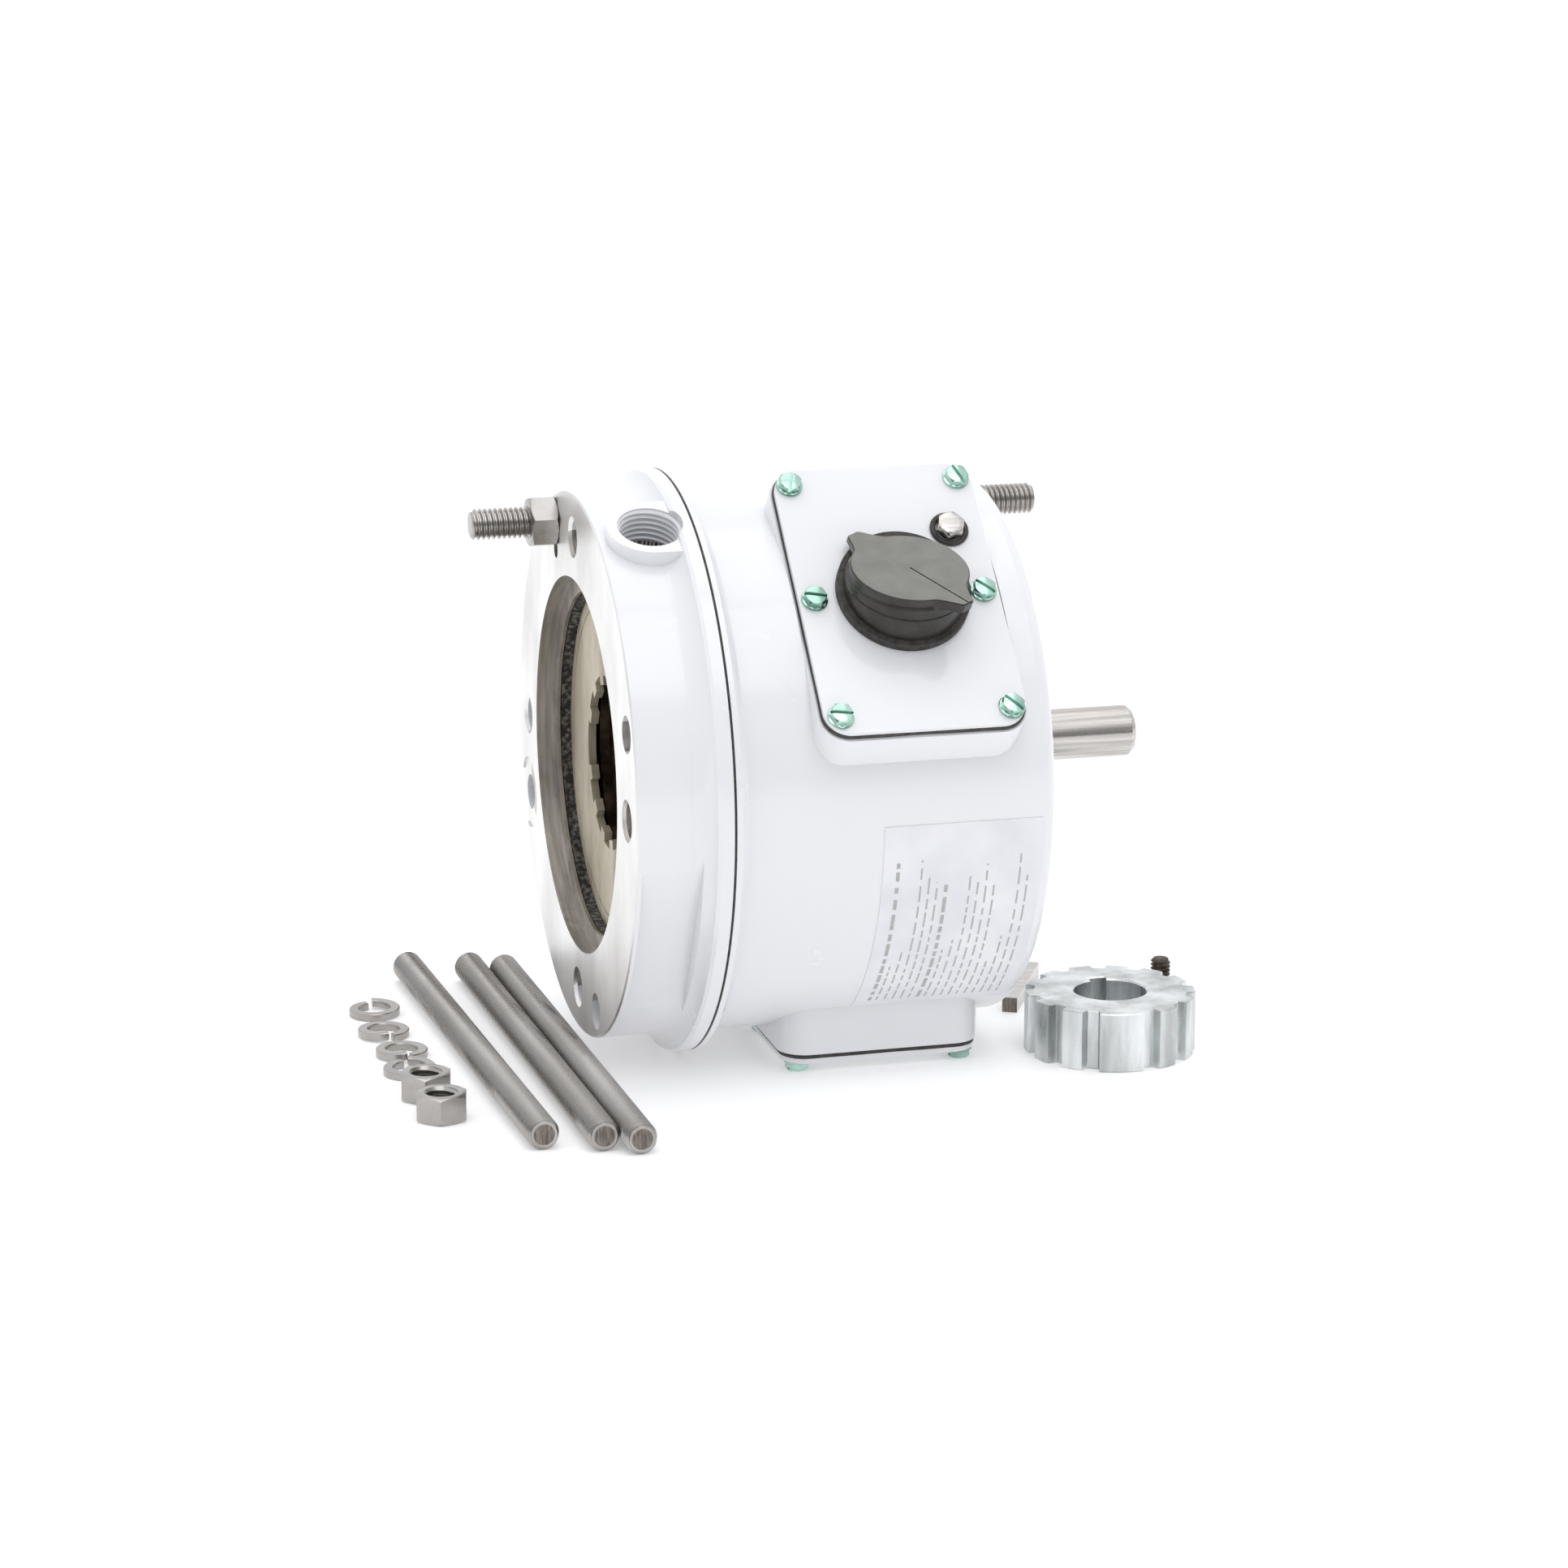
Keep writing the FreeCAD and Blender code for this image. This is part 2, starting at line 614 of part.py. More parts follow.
def lever_bracket():
    """Two ears for the lever's pin, joined by a foot against the support plate."""
    x0 = SUPPORT_PLATE[1]
    ears = [block(x0, PIVOT_X + 5.0, y, y + 3.5, PIVOT_Z - 8, PIVOT_Z + 8) for y in (-27.0, 23.5)]
    foot = block(x0, x0 + 2.0, -27.0, 27.0, PIVOT_Z - 22.0, PIVOT_Z - 8.0)
    strips = [block(x0, x0 + 2.0, y, y + 3.5, PIVOT_Z - 10, PIVOT_Z - 6) for y in (-27.0, 23.5)]
    tools = [cross_rod(LEVER_PIN_R, 40, PIVOT_X, PIVOT_Z), rod(ROD_R + 1.0, 40, 60, 0, ROD_Z)]
    return cut_all(union([foot] + ears + strips), tools)


def lever_pin():
    return cross_rod(LEVER_PIN_R, 28.0, PIVOT_X, PIVOT_Z)


def release_lever():
    plate = block(*LEVER, -LEVER_HALF_WIDTH, LEVER_HALF_WIDTH, ROD_Z - 6.0, PLUNGER_Z + 5.0)
    tab = block(*LEVER, -34.0, -LEVER_HALF_WIDTH, 20.0, 34.0)
    knuckle = cross_rod(6.5, LEVER_HALF_WIDTH, PIVOT_X, PIVOT_Z)
    tools = [rod(13.0, 50, 70), cross_rod(LEVER_PIN_R + 0.05, 40, PIVOT_X, PIVOT_Z),
             rod(ROD_R + 1.2, 50, 70, 0, ROD_Z)]
    return cut_all(union([plate, tab, knuckle]), tools)


def solenoid_passage():
    half = PLUNGER_HALF + 0.6
    return block(SOLENOID[0] - 1, SOLENOID[1] + 1, -half, half, PLUNGER_Z - half, PLUNGER_Z + half)


def solenoid_frame():
    x0, x1 = SOLENOID
    frame = block(x0, x1, -SOLENOID_HALF, SOLENOID_HALF, SOLENOID_LOW, SOLENOID_HIGH)
    window = block(x0 + 4, x1 - 4, -SOLENOID_HALF - 1, SOLENOID_HALF + 1,
                   SOLENOID_LOW + 4, SOLENOID_HIGH - 4)
    return cut_all(frame, [window, solenoid_passage()])


def solenoid_coil():
    x0, x1 = SOLENOID
    coil = block(x0 + 4.5, x1 - 4.5, -15.5, 15.5, SOLENOID_LOW + 4.5, SOLENOID_HIGH - 4.5)
    long_edges = [e for e in coil.Edges if e.BoundBox.XLength > 1]
    return coil.makeFillet(4.0, long_edges).cut(solenoid_passage())


def solenoid_plunger():
    head_x = SOLENOID[1] + SOLENOID_STROKE + 0.5
    bar = block(LEVER[1] + 0.4, head_x + 1, -PLUNGER_HALF, PLUNGER_HALF,
                PLUNGER_Z - PLUNGER_HALF, PLUNGER_Z + PLUNGER_HALF)
    head = block(head_x, head_x + 4.0, -12, 12, PLUNGER_Z - 12, PLUNGER_Z + 12)
    return bar.fuse(head).removeSplitter()


def solenoid_bracket():
    tray = block(SOLENOID[0], CAVITY_END, -SOLENOID_HALF, SOLENOID_HALF, SOLENOID_LOW - 2.5, SOLENOID_LOW)
    foot = block(CAVITY_END - 3.0, CAVITY_END, -SOLENOID_HALF, SOLENOID_HALF, SOLENOID_LOW - 2.5, 55.0)
    holes = [rod(2.1, CAVITY_END - 5, CAVITY_END + 1, y, 45.0) for y in (-10.0, 10.0)]
    return cut_all(union([tray, foot]), holes)


def solenoid_bracket_screws():
    return [moved(cap_screw(0, 0, 0, 9.0), CAVITY_END - 3.0, y, 45.0) for y in (-10.0, 10.0)]


# ---- output shaft and bearings ----

def output_shaft():
    end = BEARINGS[1][1]
    steps = [(CUP_SPLINE_END, 0), (CUP_SPLINE_END, SEAT_R), (BEARINGS[0][0] - 6.0, SEAT_R),
             (BEARINGS[0][0] - 6.0, SEAT_R + 2.0), (BEARINGS[0][0], SEAT_R + 2.0), (BEARINGS[0][0], SEAT_R),
             (end, SEAT_R), (end, SEAT_R - 1.0), (end + 1.2, SEAT_R - 1.0), (end + 1.2, SEAT_R),
             (SEAL_JOURNAL_END, SEAT_R), (SEAL_JOURNAL_END, SHAFT_R),
             (SHAFT_END - 1.5, SHAFT_R), (SHAFT_END, SHAFT_R - 1.2), (SHAFT_END, 0)]
    keyway = block(*KEY_SPAN, -KEY_WIDTH / 2, KEY_WIDTH / 2, SHAFT_R - 2.4, SHAFT_R + 2)
    return revolve(steps).cut(turned(keyway, KEY_TURN))


def spline_cup():
    """Splined cup on the shaft's inner end, for the back half of the motor hub."""
    x0, x1 = CUP
    socket = turned(splined_prism(SPLINE_CLEARANCE, x0 - 1, CUP_SPLINE_END), SPLINE_TURN)
    return cut_all(rod(33.0, x0, x1), [socket, rod(SEAT_R, x0, x1 + 1)])


def bearing_races(r_out, r_in):
    races = []
    for x0, x1 in BEARINGS:
        middle = Vector((x0 + x1) / 2, 0, 0)
        groove = Part.makeTorus(BALL_CIRCLE_R, BALL_R + 0.1, middle, X_AXIS)
        races.append(ring(r_out, r_in, x0, x1).cut(groove))
    return races


def ball_turns():
    return [360.0 * k / BALL_COUNT for k in range(BALL_COUNT)]


def bearing_balls():
    balls = []
    for x0, x1 in BEARINGS:
        ball = Part.makeSphere(BALL_R, Vector((x0 + x1) / 2, 0, BALL_CIRCLE_R))
        balls += around(ball, ball_turns())
    return balls


def bearing_cages():
    cages = []
    for x0, x1 in BEARINGS:
        middle = (x0 + x1) / 2
        pocket = Part.makeSphere(BALL_R + 0.02, Vector(middle, 0, BALL_CIRCLE_R))
        cages.append(cut_all(ring(15.3, 13.3, middle - 4.0, middle + 4.0), around(pocket, ball_turns())))
    return cages


def bearing_spacer():
    return ring(SEAT_R + 3.0, SEAT_R, BEARINGS[0][1], BEARINGS[1][0])


def split_ring(r_out, r_in, x0, x1):
    return ring(r_out, r_in, x0, x1).cut(block(x0 - 1, x1 + 1, -2.5, 2.5, 0, r_out + 1))


def housing_snap_ring():
    x = BEARINGS[0][0]
    return split_ring(BEARING_R + 0.9, BEARING_R - 2.2, x - 1.3, x)


def shaft_snap_ring():
    x = BEARINGS[1][1]
    return split_ring(SEAT_R + 1.8, SEAT_R - 0.95, x, x + 1.1)


def shaft_seal():
    return ring(16.5, SEAT_R + 0.05, BEARINGS[1][1] + 1.6, HOUSING_END)


# ---- installed stud, its nut, and the label ----

def stud_rod():
    """Threaded rod along X from the origin, drawn at its full diameter with chamfered ends."""
    c = 0.9
    return revolve([(0, 0), (0, STUD_R - c), (c, STUD_R), (STUD_LENGTH - c, STUD_R),
                    (STUD_LENGTH, STUD_R - c), (STUD_LENGTH, 0)])


def hex_nut():
    """Upright nut on z = 0, its corners rounded off at both ends."""
    reach = NUT_FLATS / math.sqrt(3)
    cut = (reach - NUT_FLATS / 2) * math.tan(math.radians(30))
    low = Part.makeCone(NUT_FLATS / 2, reach, cut)
    middle = post(reach, cut, NUT_HEIGHT - cut)
    high = Part.makeCone(reach, NUT_FLATS / 2, cut, Vector(0, 0, NUT_HEIGHT - cut), Z_AXIS)
    nut = hexagon(NUT_FLATS, 0, NUT_HEIGHT).common(union([low, middle, high]))
    return nut.cut(post(STUD_R, -1, NUT_HEIGHT + 1))


def through_stud():
    y, z = polar(STUD_TURN, BOLT_CIRCLE_R)
    return moved(stud_rod(), STUD_START, y, z)


def stud_nut():
    y, z = polar(STUD_TURN, BOLT_CIRCLE_R)
    return moved(turned(along_x(hex_nut(), -1), NUT_TURN), 0, y, z)


def rating_label():
    """Thin plate wrapped on the barrel, between two turns about the axis."""
    x0, x1 = LABEL_SPAN
    corners = [Vector(x, 0, r) for x, r in ((x0, BODY_R), (x1, BODY_R), (x1, BODY_R + 0.25),
                                            (x0, BODY_R + 0.25), (x0, BODY_R))]
    face = Part.Face(Part.makePolygon(corners))
    return turned(face.revolve(ORIGIN, X_AXIS, LABEL_TURNS[1] - LABEL_TURNS[0]), LABEL_TURNS[0])


# ---- loose kit, lying on the plane that the unit stands on ----

def motor_hub():
    c = 0.5
    hub = splined_prism(0.0, 0, HUB_HEIGHT)
    bore = rod(HUB_BORE_R, -1, HUB_HEIGHT + 1)
    mouths = [Part.makeCone(HUB_BORE_R + c, HUB_BORE_R, c, ORIGIN, X_AXIS),
              Part.makeCone(HUB_BORE_R, HUB_BORE_R + c, c, Vector(HUB_HEIGHT - c, 0, 0), X_AXIS)]
    hub = cut_all(hub, [bore] + mouths)
    upright = along_x(hub, -1)
    upright.rotate(ORIGIN, Z_AXIS, HUB_WIDE_TOOTH_DEG - 180.0)
    keyway = block(-HUB_KEYWAY / 2, HUB_KEYWAY / 2, 0, HUB_BORE_R + 2.6, -1, HUB_HEIGHT + 1)
    return moved(upright.cut(keyway), *HUB_PLACE, FLOOR_Z)


def hub_set_screw():
    """Set screw that stands on its socket end, its cup point up."""
    chamfer = 0.8
    neck = SET_SCREW_LENGTH - chamfer
    screw = post(SET_SCREW_R, 0, neck)
    point = Part.makeCone(SET_SCREW_R, SET_SCREW_R - chamfer, chamfer, Vector(0, 0, neck), Z_AXIS)
    return moved(screw.fuse(point).removeSplitter(), *SET_SCREW_PLACE, FLOOR_Z)


def loose_key():
    (xa, ya), (xb, yb) = LOOSE_KEY_ENDS
    key = block(0, math.hypot(xb - xa, yb - ya), -KEY_WIDTH / 2, KEY_WIDTH / 2, 0, KEY_WIDTH)
    key.rotate(ORIGIN, Z_AXIS, math.degrees(math.atan2(yb - ya, xb - xa)))
    return moved(key, xa, ya, FLOOR_Z)


def loose_studs():
    studs = []
    for (xa, ya), (xb, yb) in LOOSE_STUD_ENDS:
        lying = moved(stud_rod(), -STUD_LENGTH / 2, 0, 0)
        lying.rotate(ORIGIN, Z_AXIS, math.degrees(math.atan2(yb - ya, xb - xa)))
        studs.append(moved(lying, (xa + xb) / 2, (ya + yb) / 2, FLOOR_Z + STUD_R))
    return studs


def lock_washer(x, y, gap_deg):
    """Split washer: a flat ring with one slanting cut."""
    washer = post(WASHER_R, 0, WASHER_T).cut(post(WASHER_HOLE_R, -1, WASHER_T + 1))
    gap = block(0, WASHER_R + 2, -0.7, 0.7, -2, WASHER_T + 2)
    gap.rotate(Vector(0, 0, WASHER_T / 2), X_AXIS, 25)
    gap.rotate(ORIGIN, Z_AXIS, gap_deg)
    return moved(washer.cut(gap), x, y, FLOOR_Z)


def loose_lock_washers():
    return [lock_washer(*washer) for washer in LOOSE_WASHERS]


def loose_nuts():
    nuts = []
    for x, y in LOOSE_NUTS:
        nut = hex_nut()
        nut.rotate(ORIGIN, Z_AXIS, NUT_HEADING)
        nuts.append(moved(nut, x, y, FLOOR_Z))
    return nuts


FRONT_SLOTS = (-8.0, -12.0, 75.0, -48.0, -42.0, -68.0)
BOTTOM_SLOTS = (10.0, 55.0, -30.0, 80.0, 25.0, -15.0)

NODES = {
    "end_plate": end_plate,
    "seam_gasket": seam_gasket,
    "housing": housing,
    "front_cover": front_cover,
    "front_cover_gasket": lambda: cover_gasket(FRONT_SEAT, FRONT_TURN),
    "front_cover_screws": lambda: cover_screws(FRONT_FACE, FRONT_TURN, FRONT_SLOTS),
    "bottom_cover": bottom_cover,
    "bottom_cover_gasket": lambda: cover_gasket(BOTTOM_SEAT, BOTTOM_TURN),
    "bottom_cover_screws": lambda: cover_screws(BOTTOM_FACE, BOTTOM_TURN, BOTTOM_SLOTS),
    "inspection_plug": inspection_plug,
    "plug_washer": plug_washer,
    "release_knob": release_knob,
    "knob_seal": knob_seal,
    "cam_spindle": cam_spindle,
    "wear_plate": wear_plate,
    "friction_disc": friction_disc,
    "friction_linings": friction_linings,
    "pressure_plate": pressure_plate,
    "release_rod": release_rod,
    "guide_pins": guide_pins,
    "pressure_springs": pressure_springs,
    "support_plate": support_plate,
    "support_plate_screws": support_plate_screws,
    "lever_bracket": lever_bracket,
    "lever_pin": lever_pin,
    "release_lever": release_lever,
    "solenoid_frame": solenoid_frame,
    "solenoid_coil": solenoid_coil,
    "solenoid_plunger": solenoid_plunger,
    "solenoid_bracket": solenoid_bracket,
    "solenoid_bracket_screws": solenoid_bracket_screws,
    "output_shaft": output_shaft,
    "spline_cup": spline_cup,
    "bearing_inner_races": lambda: bearing_races(12.3, SEAT_R),
    "bearing_outer_races": lambda: bearing_races(BEARING_R, 16.3),
    "bearing_balls": bearing_balls,
    "bearing_cages": bearing_cages,
    "bearing_spacer": bearing_spacer,
    "housing_snap_ring": housing_snap_ring,
    "shaft_snap_ring": shaft_snap_ring,
    "shaft_seal": shaft_seal,
    "through_stud": through_stud,
    "stud_nut": stud_nut,
    "rating_label": rating_label,
    "motor_hub": motor_hub,
    "hub_set_screw": hub_set_screw,
    "loose_key": loose_key,
    "loose_studs": loose_studs,
    "loose_lock_washers": loose_lock_washers,
    "loose_nuts": loose_nuts,
}

for node, make in NODES.items():
    save(node, make())
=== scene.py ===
"""Spring-set clutch-brake with its loose fitting kit, on a pale studio floor.

Lengths are metres in the CAD frame: +X along the shaft, +Z up, +Y to the back. A "turn" is an
angle about +X from +Z towards -Y. MM turns the design's millimetres into metres.
"""
import json
import math
import random

import bmesh
import bpy
from mathutils import Matrix, Vector


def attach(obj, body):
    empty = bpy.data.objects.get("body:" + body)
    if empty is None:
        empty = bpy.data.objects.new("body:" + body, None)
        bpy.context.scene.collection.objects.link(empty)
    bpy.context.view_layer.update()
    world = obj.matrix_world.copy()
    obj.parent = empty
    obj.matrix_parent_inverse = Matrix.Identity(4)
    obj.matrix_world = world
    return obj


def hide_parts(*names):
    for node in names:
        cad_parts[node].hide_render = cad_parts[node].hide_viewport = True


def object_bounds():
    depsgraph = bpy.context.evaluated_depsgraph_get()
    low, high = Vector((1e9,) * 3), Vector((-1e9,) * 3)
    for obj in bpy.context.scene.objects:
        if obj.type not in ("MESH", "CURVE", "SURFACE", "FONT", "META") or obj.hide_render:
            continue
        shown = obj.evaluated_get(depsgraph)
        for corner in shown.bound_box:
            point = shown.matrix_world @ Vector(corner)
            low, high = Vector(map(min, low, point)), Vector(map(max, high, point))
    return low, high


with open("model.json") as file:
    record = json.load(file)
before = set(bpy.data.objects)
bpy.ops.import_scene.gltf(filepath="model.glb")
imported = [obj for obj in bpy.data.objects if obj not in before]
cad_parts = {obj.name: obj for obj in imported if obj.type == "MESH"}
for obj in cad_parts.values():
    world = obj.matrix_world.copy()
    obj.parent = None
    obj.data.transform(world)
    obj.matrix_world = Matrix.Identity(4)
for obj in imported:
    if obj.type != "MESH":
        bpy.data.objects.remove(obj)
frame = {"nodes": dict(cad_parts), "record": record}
cad_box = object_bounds()
MM = 0.001
INCH = 25.4 * MM

# ---- sizes shared with the design ----
FLOOR_Z = cad_box[0].z
BODY_R = 6.5 * INCH / 2
CONDUIT_X = 15.3 * MM
CONDUIT_TURN = 24.5
CONDUIT_FACE = 86.0 * MM
CONDUIT_THREAD = 11 * MM
STUD_R = 0.375 * INCH / 2
STUD_PITCH = INCH / 16
STUD_LENGTH = 7 * INCH
STUD_START = -26.1 * MM
STUD_TURN = -20.0
BOLT_CIRCLE_R = 5.875 * INCH / 2
NUT_FLATS = 0.5625 * INCH
NUT_HEIGHT = 8.3 * MM
NUT_TURN = 17.0
NUT_HEADING = 18.0
FRONT_TURN = 45.0
BOTTOM_TURN = 180.0
FRONT_FACE = 84.2 * MM
BOTTOM_FACE = 85.4 * MM
COVER_X = 83.9 * MM
SCREW_PITCH = (25.5 * MM, 40.2 * MM)
LABEL_START = 73.3 * MM
LABEL_TURNS = (92.5, 145.0)
LABEL_ROWS = 17
LABEL_MARGIN = 4.0 * MM
LABEL_PITCH = 2.5 * MM
HEAVY_ROWS = (0, 6)
HEAVY_BAR = 1.1 * MM
LIGHT_BAR = 0.5 * MM


# ---- materials ----

class Surface:
    """A Principled material whose colour, roughness and relief are drawn by noise in object space."""

    def __init__(self, name, metallic=0.0, **constants):
        self.material = bpy.data.materials.new(name)
        self.material.use_nodes = True
        self.tree = self.material.node_tree
        self.shader = self.tree.nodes["Principled BSDF"]
        self.shader.inputs["Metallic"].default_value = metallic
        for socket, value in constants.items():
            self.shader.inputs[socket.replace("_", " ")].default_value = value
        self.height = None

    def noise(self, scale, stretch=(1, 1, 1), detail=5.0):
        coords = self.tree.nodes.new("ShaderNodeTexCoord")
        mapping = self.tree.nodes.new("ShaderNodeMapping")
        noise = self.tree.nodes.new("ShaderNodeTexNoise")
        mapping.inputs["Scale"].default_value = stretch
        noise.inputs["Scale"].default_value = scale
        noise.inputs["Detail"].default_value = detail
        self.tree.links.new(coords.outputs["Object"], mapping.inputs["Vector"])
        self.tree.links.new(mapping.outputs["Vector"], noise.inputs["Vector"])
        return noise.outputs["Fac"]

    def colour(self, dark, light, scale, stretch=(1, 1, 1), low=0.35, high=0.65):
        ramp = self.tree.nodes.new("ShaderNodeValToRGB")
        ramp.color_ramp.elements[0].position = low
        ramp.color_ramp.elements[0].color = (*dark, 1)
        ramp.color_ramp.elements[1].position = high
        ramp.color_ramp.elements[1].color = (*light, 1)
        self.tree.links.new(self.noise(scale, stretch), ramp.inputs["Fac"])
        self.tree.links.new(ramp.outputs["Color"], self.shader.inputs["Base Color"])
        return self

    def rough(self, low, high, scale, stretch=(1, 1, 1)):
        spread = self.tree.nodes.new("ShaderNodeMapRange")
        spread.inputs["From Min"].default_value = 0.3
        spread.inputs["From Max"].default_value = 0.7
        spread.inputs["To Min"].default_value = low
        spread.inputs["To Max"].default_value = high
        self.tree.links.new(self.noise(scale, stretch), spread.inputs["Value"])
        self.tree.links.new(spread.outputs["Result"], self.shader.inputs["Roughness"])
        return self

    def relief(self, depth, scale, stretch=(1, 1, 1), strength=1.0):
        bump = self.tree.nodes.new("ShaderNodeBump")
        bump.inputs["Distance"].default_value = depth
        bump.inputs["Strength"].default_value = strength
        self.tree.links.new(self.noise(scale, stretch), bump.inputs["Height"])
        if self.height is not None:
            self.tree.links.new(self.height, bump.inputs["Normal"])
        self.height = bump.outputs["Normal"]
        self.tree.links.new(self.height, self.shader.inputs["Normal"])
        return self


def grey(value, warmth=0.0):
    """A grey; warmth above 0 leans to tan and below 0 to blue."""
    return (value * (1 + warmth), value, value * (1 - warmth))


def make_surfaces():
    brushed = (1, 30, 30)
    made = {
        "white_paint": Surface("white_paint", Coat_Weight=0.5, Coat_Roughness=0.08)
        .colour((0.79, 0.795, 0.825), (0.815, 0.82, 0.845), 9).rough(0.2, 0.28, 60)
        .relief(0.006 * MM, 220, strength=0.4),
        "bare_casting": Surface("bare_casting", metallic=1.0)
        .colour(grey(0.68, 0.015), grey(0.87, 0.005), 38, (1, 1, 0.5)).rough(0.3, 0.5, 300, (1, 4, 4))
        .relief(0.02 * MM, 900, (1, 3, 3), 0.5),
        # Bare metal inside the register: its turned rings are the metal's own, while its darker, warmer tone
        # than bare_casting is painted shade of the recess.
        "register_wall_painted_shade": Surface("register_wall_painted_shade", metallic=1.0)
        .colour(grey(0.38, 0.06), grey(0.54, 0.05), 60, (12, 1, 1)).rough(0.3, 0.48, 300)
        .relief(0.02 * MM, 1500, (8, 1, 1), 0.6),
        "black_rubber": Surface("black_rubber").colour(grey(0.022, 0.08), grey(0.05, 0.1), 500)
        .rough(0.5, 0.75, 700).relief(0.05 * MM, 1500),
        "zinc_screws": Surface("zinc_screws", metallic=1.0)
        .colour((0.27, 0.44, 0.37), (0.52, 0.74, 0.65), 90).rough(0.12, 0.22, 800)
        .relief(0.006 * MM, 900),
        # The steel's colour noise is drawn out along X into light and dark bands round the shaft: painted
        # reflection bands.
        "bright_steel": Surface("bright_steel", metallic=1.0)
        .colour(grey(0.42, 0.05), grey(0.6, 0.04), 80, (0.3, 14, 14)).rough(0.16, 0.32, 500, brushed)
        .relief(0.006 * MM, 1800, (0.2, 8, 8)),
        # The knob's lighter top colour and darker side colour are lit and shaded copies of one plastic:
        # painted light and painted shade.
        "knob_plastic": Surface("knob_plastic").colour((0.15, 0.148, 0.134), (0.185, 0.182, 0.166), 160)
        .rough(0.3, 0.42, 400).relief(0.02 * MM, 1700),
        "knob_side_painted_shade": Surface("knob_side_painted_shade").colour((0.02, 0.018, 0.015), (0.036, 0.033, 0.028), 160)
        .rough(0.26, 0.38, 400).relief(0.02 * MM, 1700),
        "steel": Surface("steel", metallic=1.0).colour(grey(0.24, 0.1), grey(0.4, 0.08), 120)
        .rough(0.32, 0.5, 400).relief(0.01 * MM, 1500, (1, 3, 3)),
        "disc_steel": Surface("disc_steel", metallic=0.55)
        .colour((0.3, 0.26, 0.19), (0.6, 0.55, 0.44), 70, (1, 1, 0.25), 0.3, 0.6).rough(0.42, 0.62, 300)
        .relief(0.03 * MM, 900, (1, 2, 0.4)),
        "friction_material": Surface("friction_material")
        .colour((0.012, 0.011, 0.01), (0.2, 0.19, 0.16), 620, low=0.45, high=0.72).rough(0.6, 0.9, 900)
        .relief(0.5 * MM, 700),
        "cast_iron": Surface("cast_iron", metallic=0.7)
        .colour((0.035, 0.022, 0.015), (0.24, 0.17, 0.11), 130).rough(0.42, 0.7, 300).relief(0.05 * MM, 900),
        "spring_steel": Surface("spring_steel", metallic=1.0).colour(grey(0.1), grey(0.2), 200)
        .rough(0.3, 0.45, 500).relief(0.01 * MM, 900),
        "lamination": Surface("lamination", metallic=0.8).colour(grey(0.12), grey(0.26), 300, (6, 1, 1))
        .rough(0.4, 0.6, 400).relief(0.08 * MM, 600, (8, 0.5, 0.5)),
        "coil_resin": Surface("coil_resin").colour((0.12, 0.03, 0.015), (0.2, 0.06, 0.03), 150)
        .rough(0.25, 0.4, 300).relief(0.03 * MM, 500),
        "stainless": Surface("stainless", metallic=1.0)
        .colour(grey(0.34, 0.05), grey(0.44, 0.035), 90, (1, 0.15, 1)).rough(0.24, 0.34, 400)
        .relief(0.004 * MM, 1700, (1, 0.3, 1)),
        "label_film": Surface("label_film").colour((0.74, 0.74, 0.79), (0.82, 0.82, 0.86), 60)
        .rough(0.4, 0.52, 300).relief(0.01 * MM, 500),
        "label_ink": Surface("label_ink").colour(grey(0.36), grey(0.5), 900, low=0.2, high=0.8)
        .rough(0.5, 0.6, 500).relief(0.005 * MM, 900),
        "sawn_end": Surface("sawn_end", metallic=0.9)
        .colour((0.13, 0.11, 0.095), (0.26, 0.235, 0.21), 260, (6, 1, 1)).rough(0.3, 0.5, 500)
        .relief(0.02 * MM, 900, (6, 1, 1)),
        "zinc_hub": Surface("zinc_hub", metallic=1.0)
        .colour((0.44, 0.46, 0.455), (0.78, 0.81, 0.82), 110, (1, 1, 0.2)).rough(0.22, 0.42, 400, (2, 2, 0.3))
        .relief(0.03 * MM, 700, (3, 3, 0.2)),
        "black_oxide": Surface("black_oxide", metallic=0.6)
        .colour((0.03, 0.022, 0.017), (0.1, 0.075, 0.055), 500)
        .rough(0.35, 0.55, 700).relief(0.02 * MM, 1200),
        # Near-black colour for the insides of grooves: painted shade.
        "dark_groove": Surface("dark_groove").colour(grey(0.006), grey(0.012), 300).rough(0.6, 0.8, 300)
        .relief(0.005 * MM, 900),
        "pale_floor": Surface("pale_floor", Emission_Color=(1, 1, 1, 1), Emission_Strength=0.28)
        .colour(grey(0.82), grey(0.84), 2).rough(0.6, 0.7, 3).relief(0.02 * MM, 60),
    }
    return {name: surface.material for name, surface in made.items()}


SURFACES = make_surfaces()


def dress_cad_nodes():
    """Give each CAD node the material of its slot in the record."""
    for part in frame["record"]["subparts"]:
        obj = frame["nodes"][part["node"]]
        obj.data.materials.clear()
        obj.data.materials.append(SURFACES[part["material_slot"]])


def bare_faces(node, surface, is_bare):
    """Leave the faces that is_bare picks, by centre and normal, unpainted."""
    mesh = frame["nodes"][node].data
    mesh.materials.append(SURFACES[surface])
    index = len(mesh.materials) - 1
    for face in mesh.polygons:
        if is_bare(face.center, face.normal):
            face.material_index = index


def radius(point):
    return math.hypot(point.y, point.z)


def in_conduit_bore_shade(centre, normal):
    """True for the unpainted depth of the conduit entry, below its threads, which is given dark cast_iron
    there as painted shade of the enclosed bore.
    """
    turn = math.radians(CONDUIT_TURN)
    out = Vector((0, -math.sin(turn), math.cos(turn)))
    off = centre - Vector((CONDUIT_X, 0, 0))
    depth = off.dot(out)
    return depth < CONDUIT_FACE - CONDUIT_THREAD + MM and depth > 0 and (off - out * depth).length < 10.4 * MM


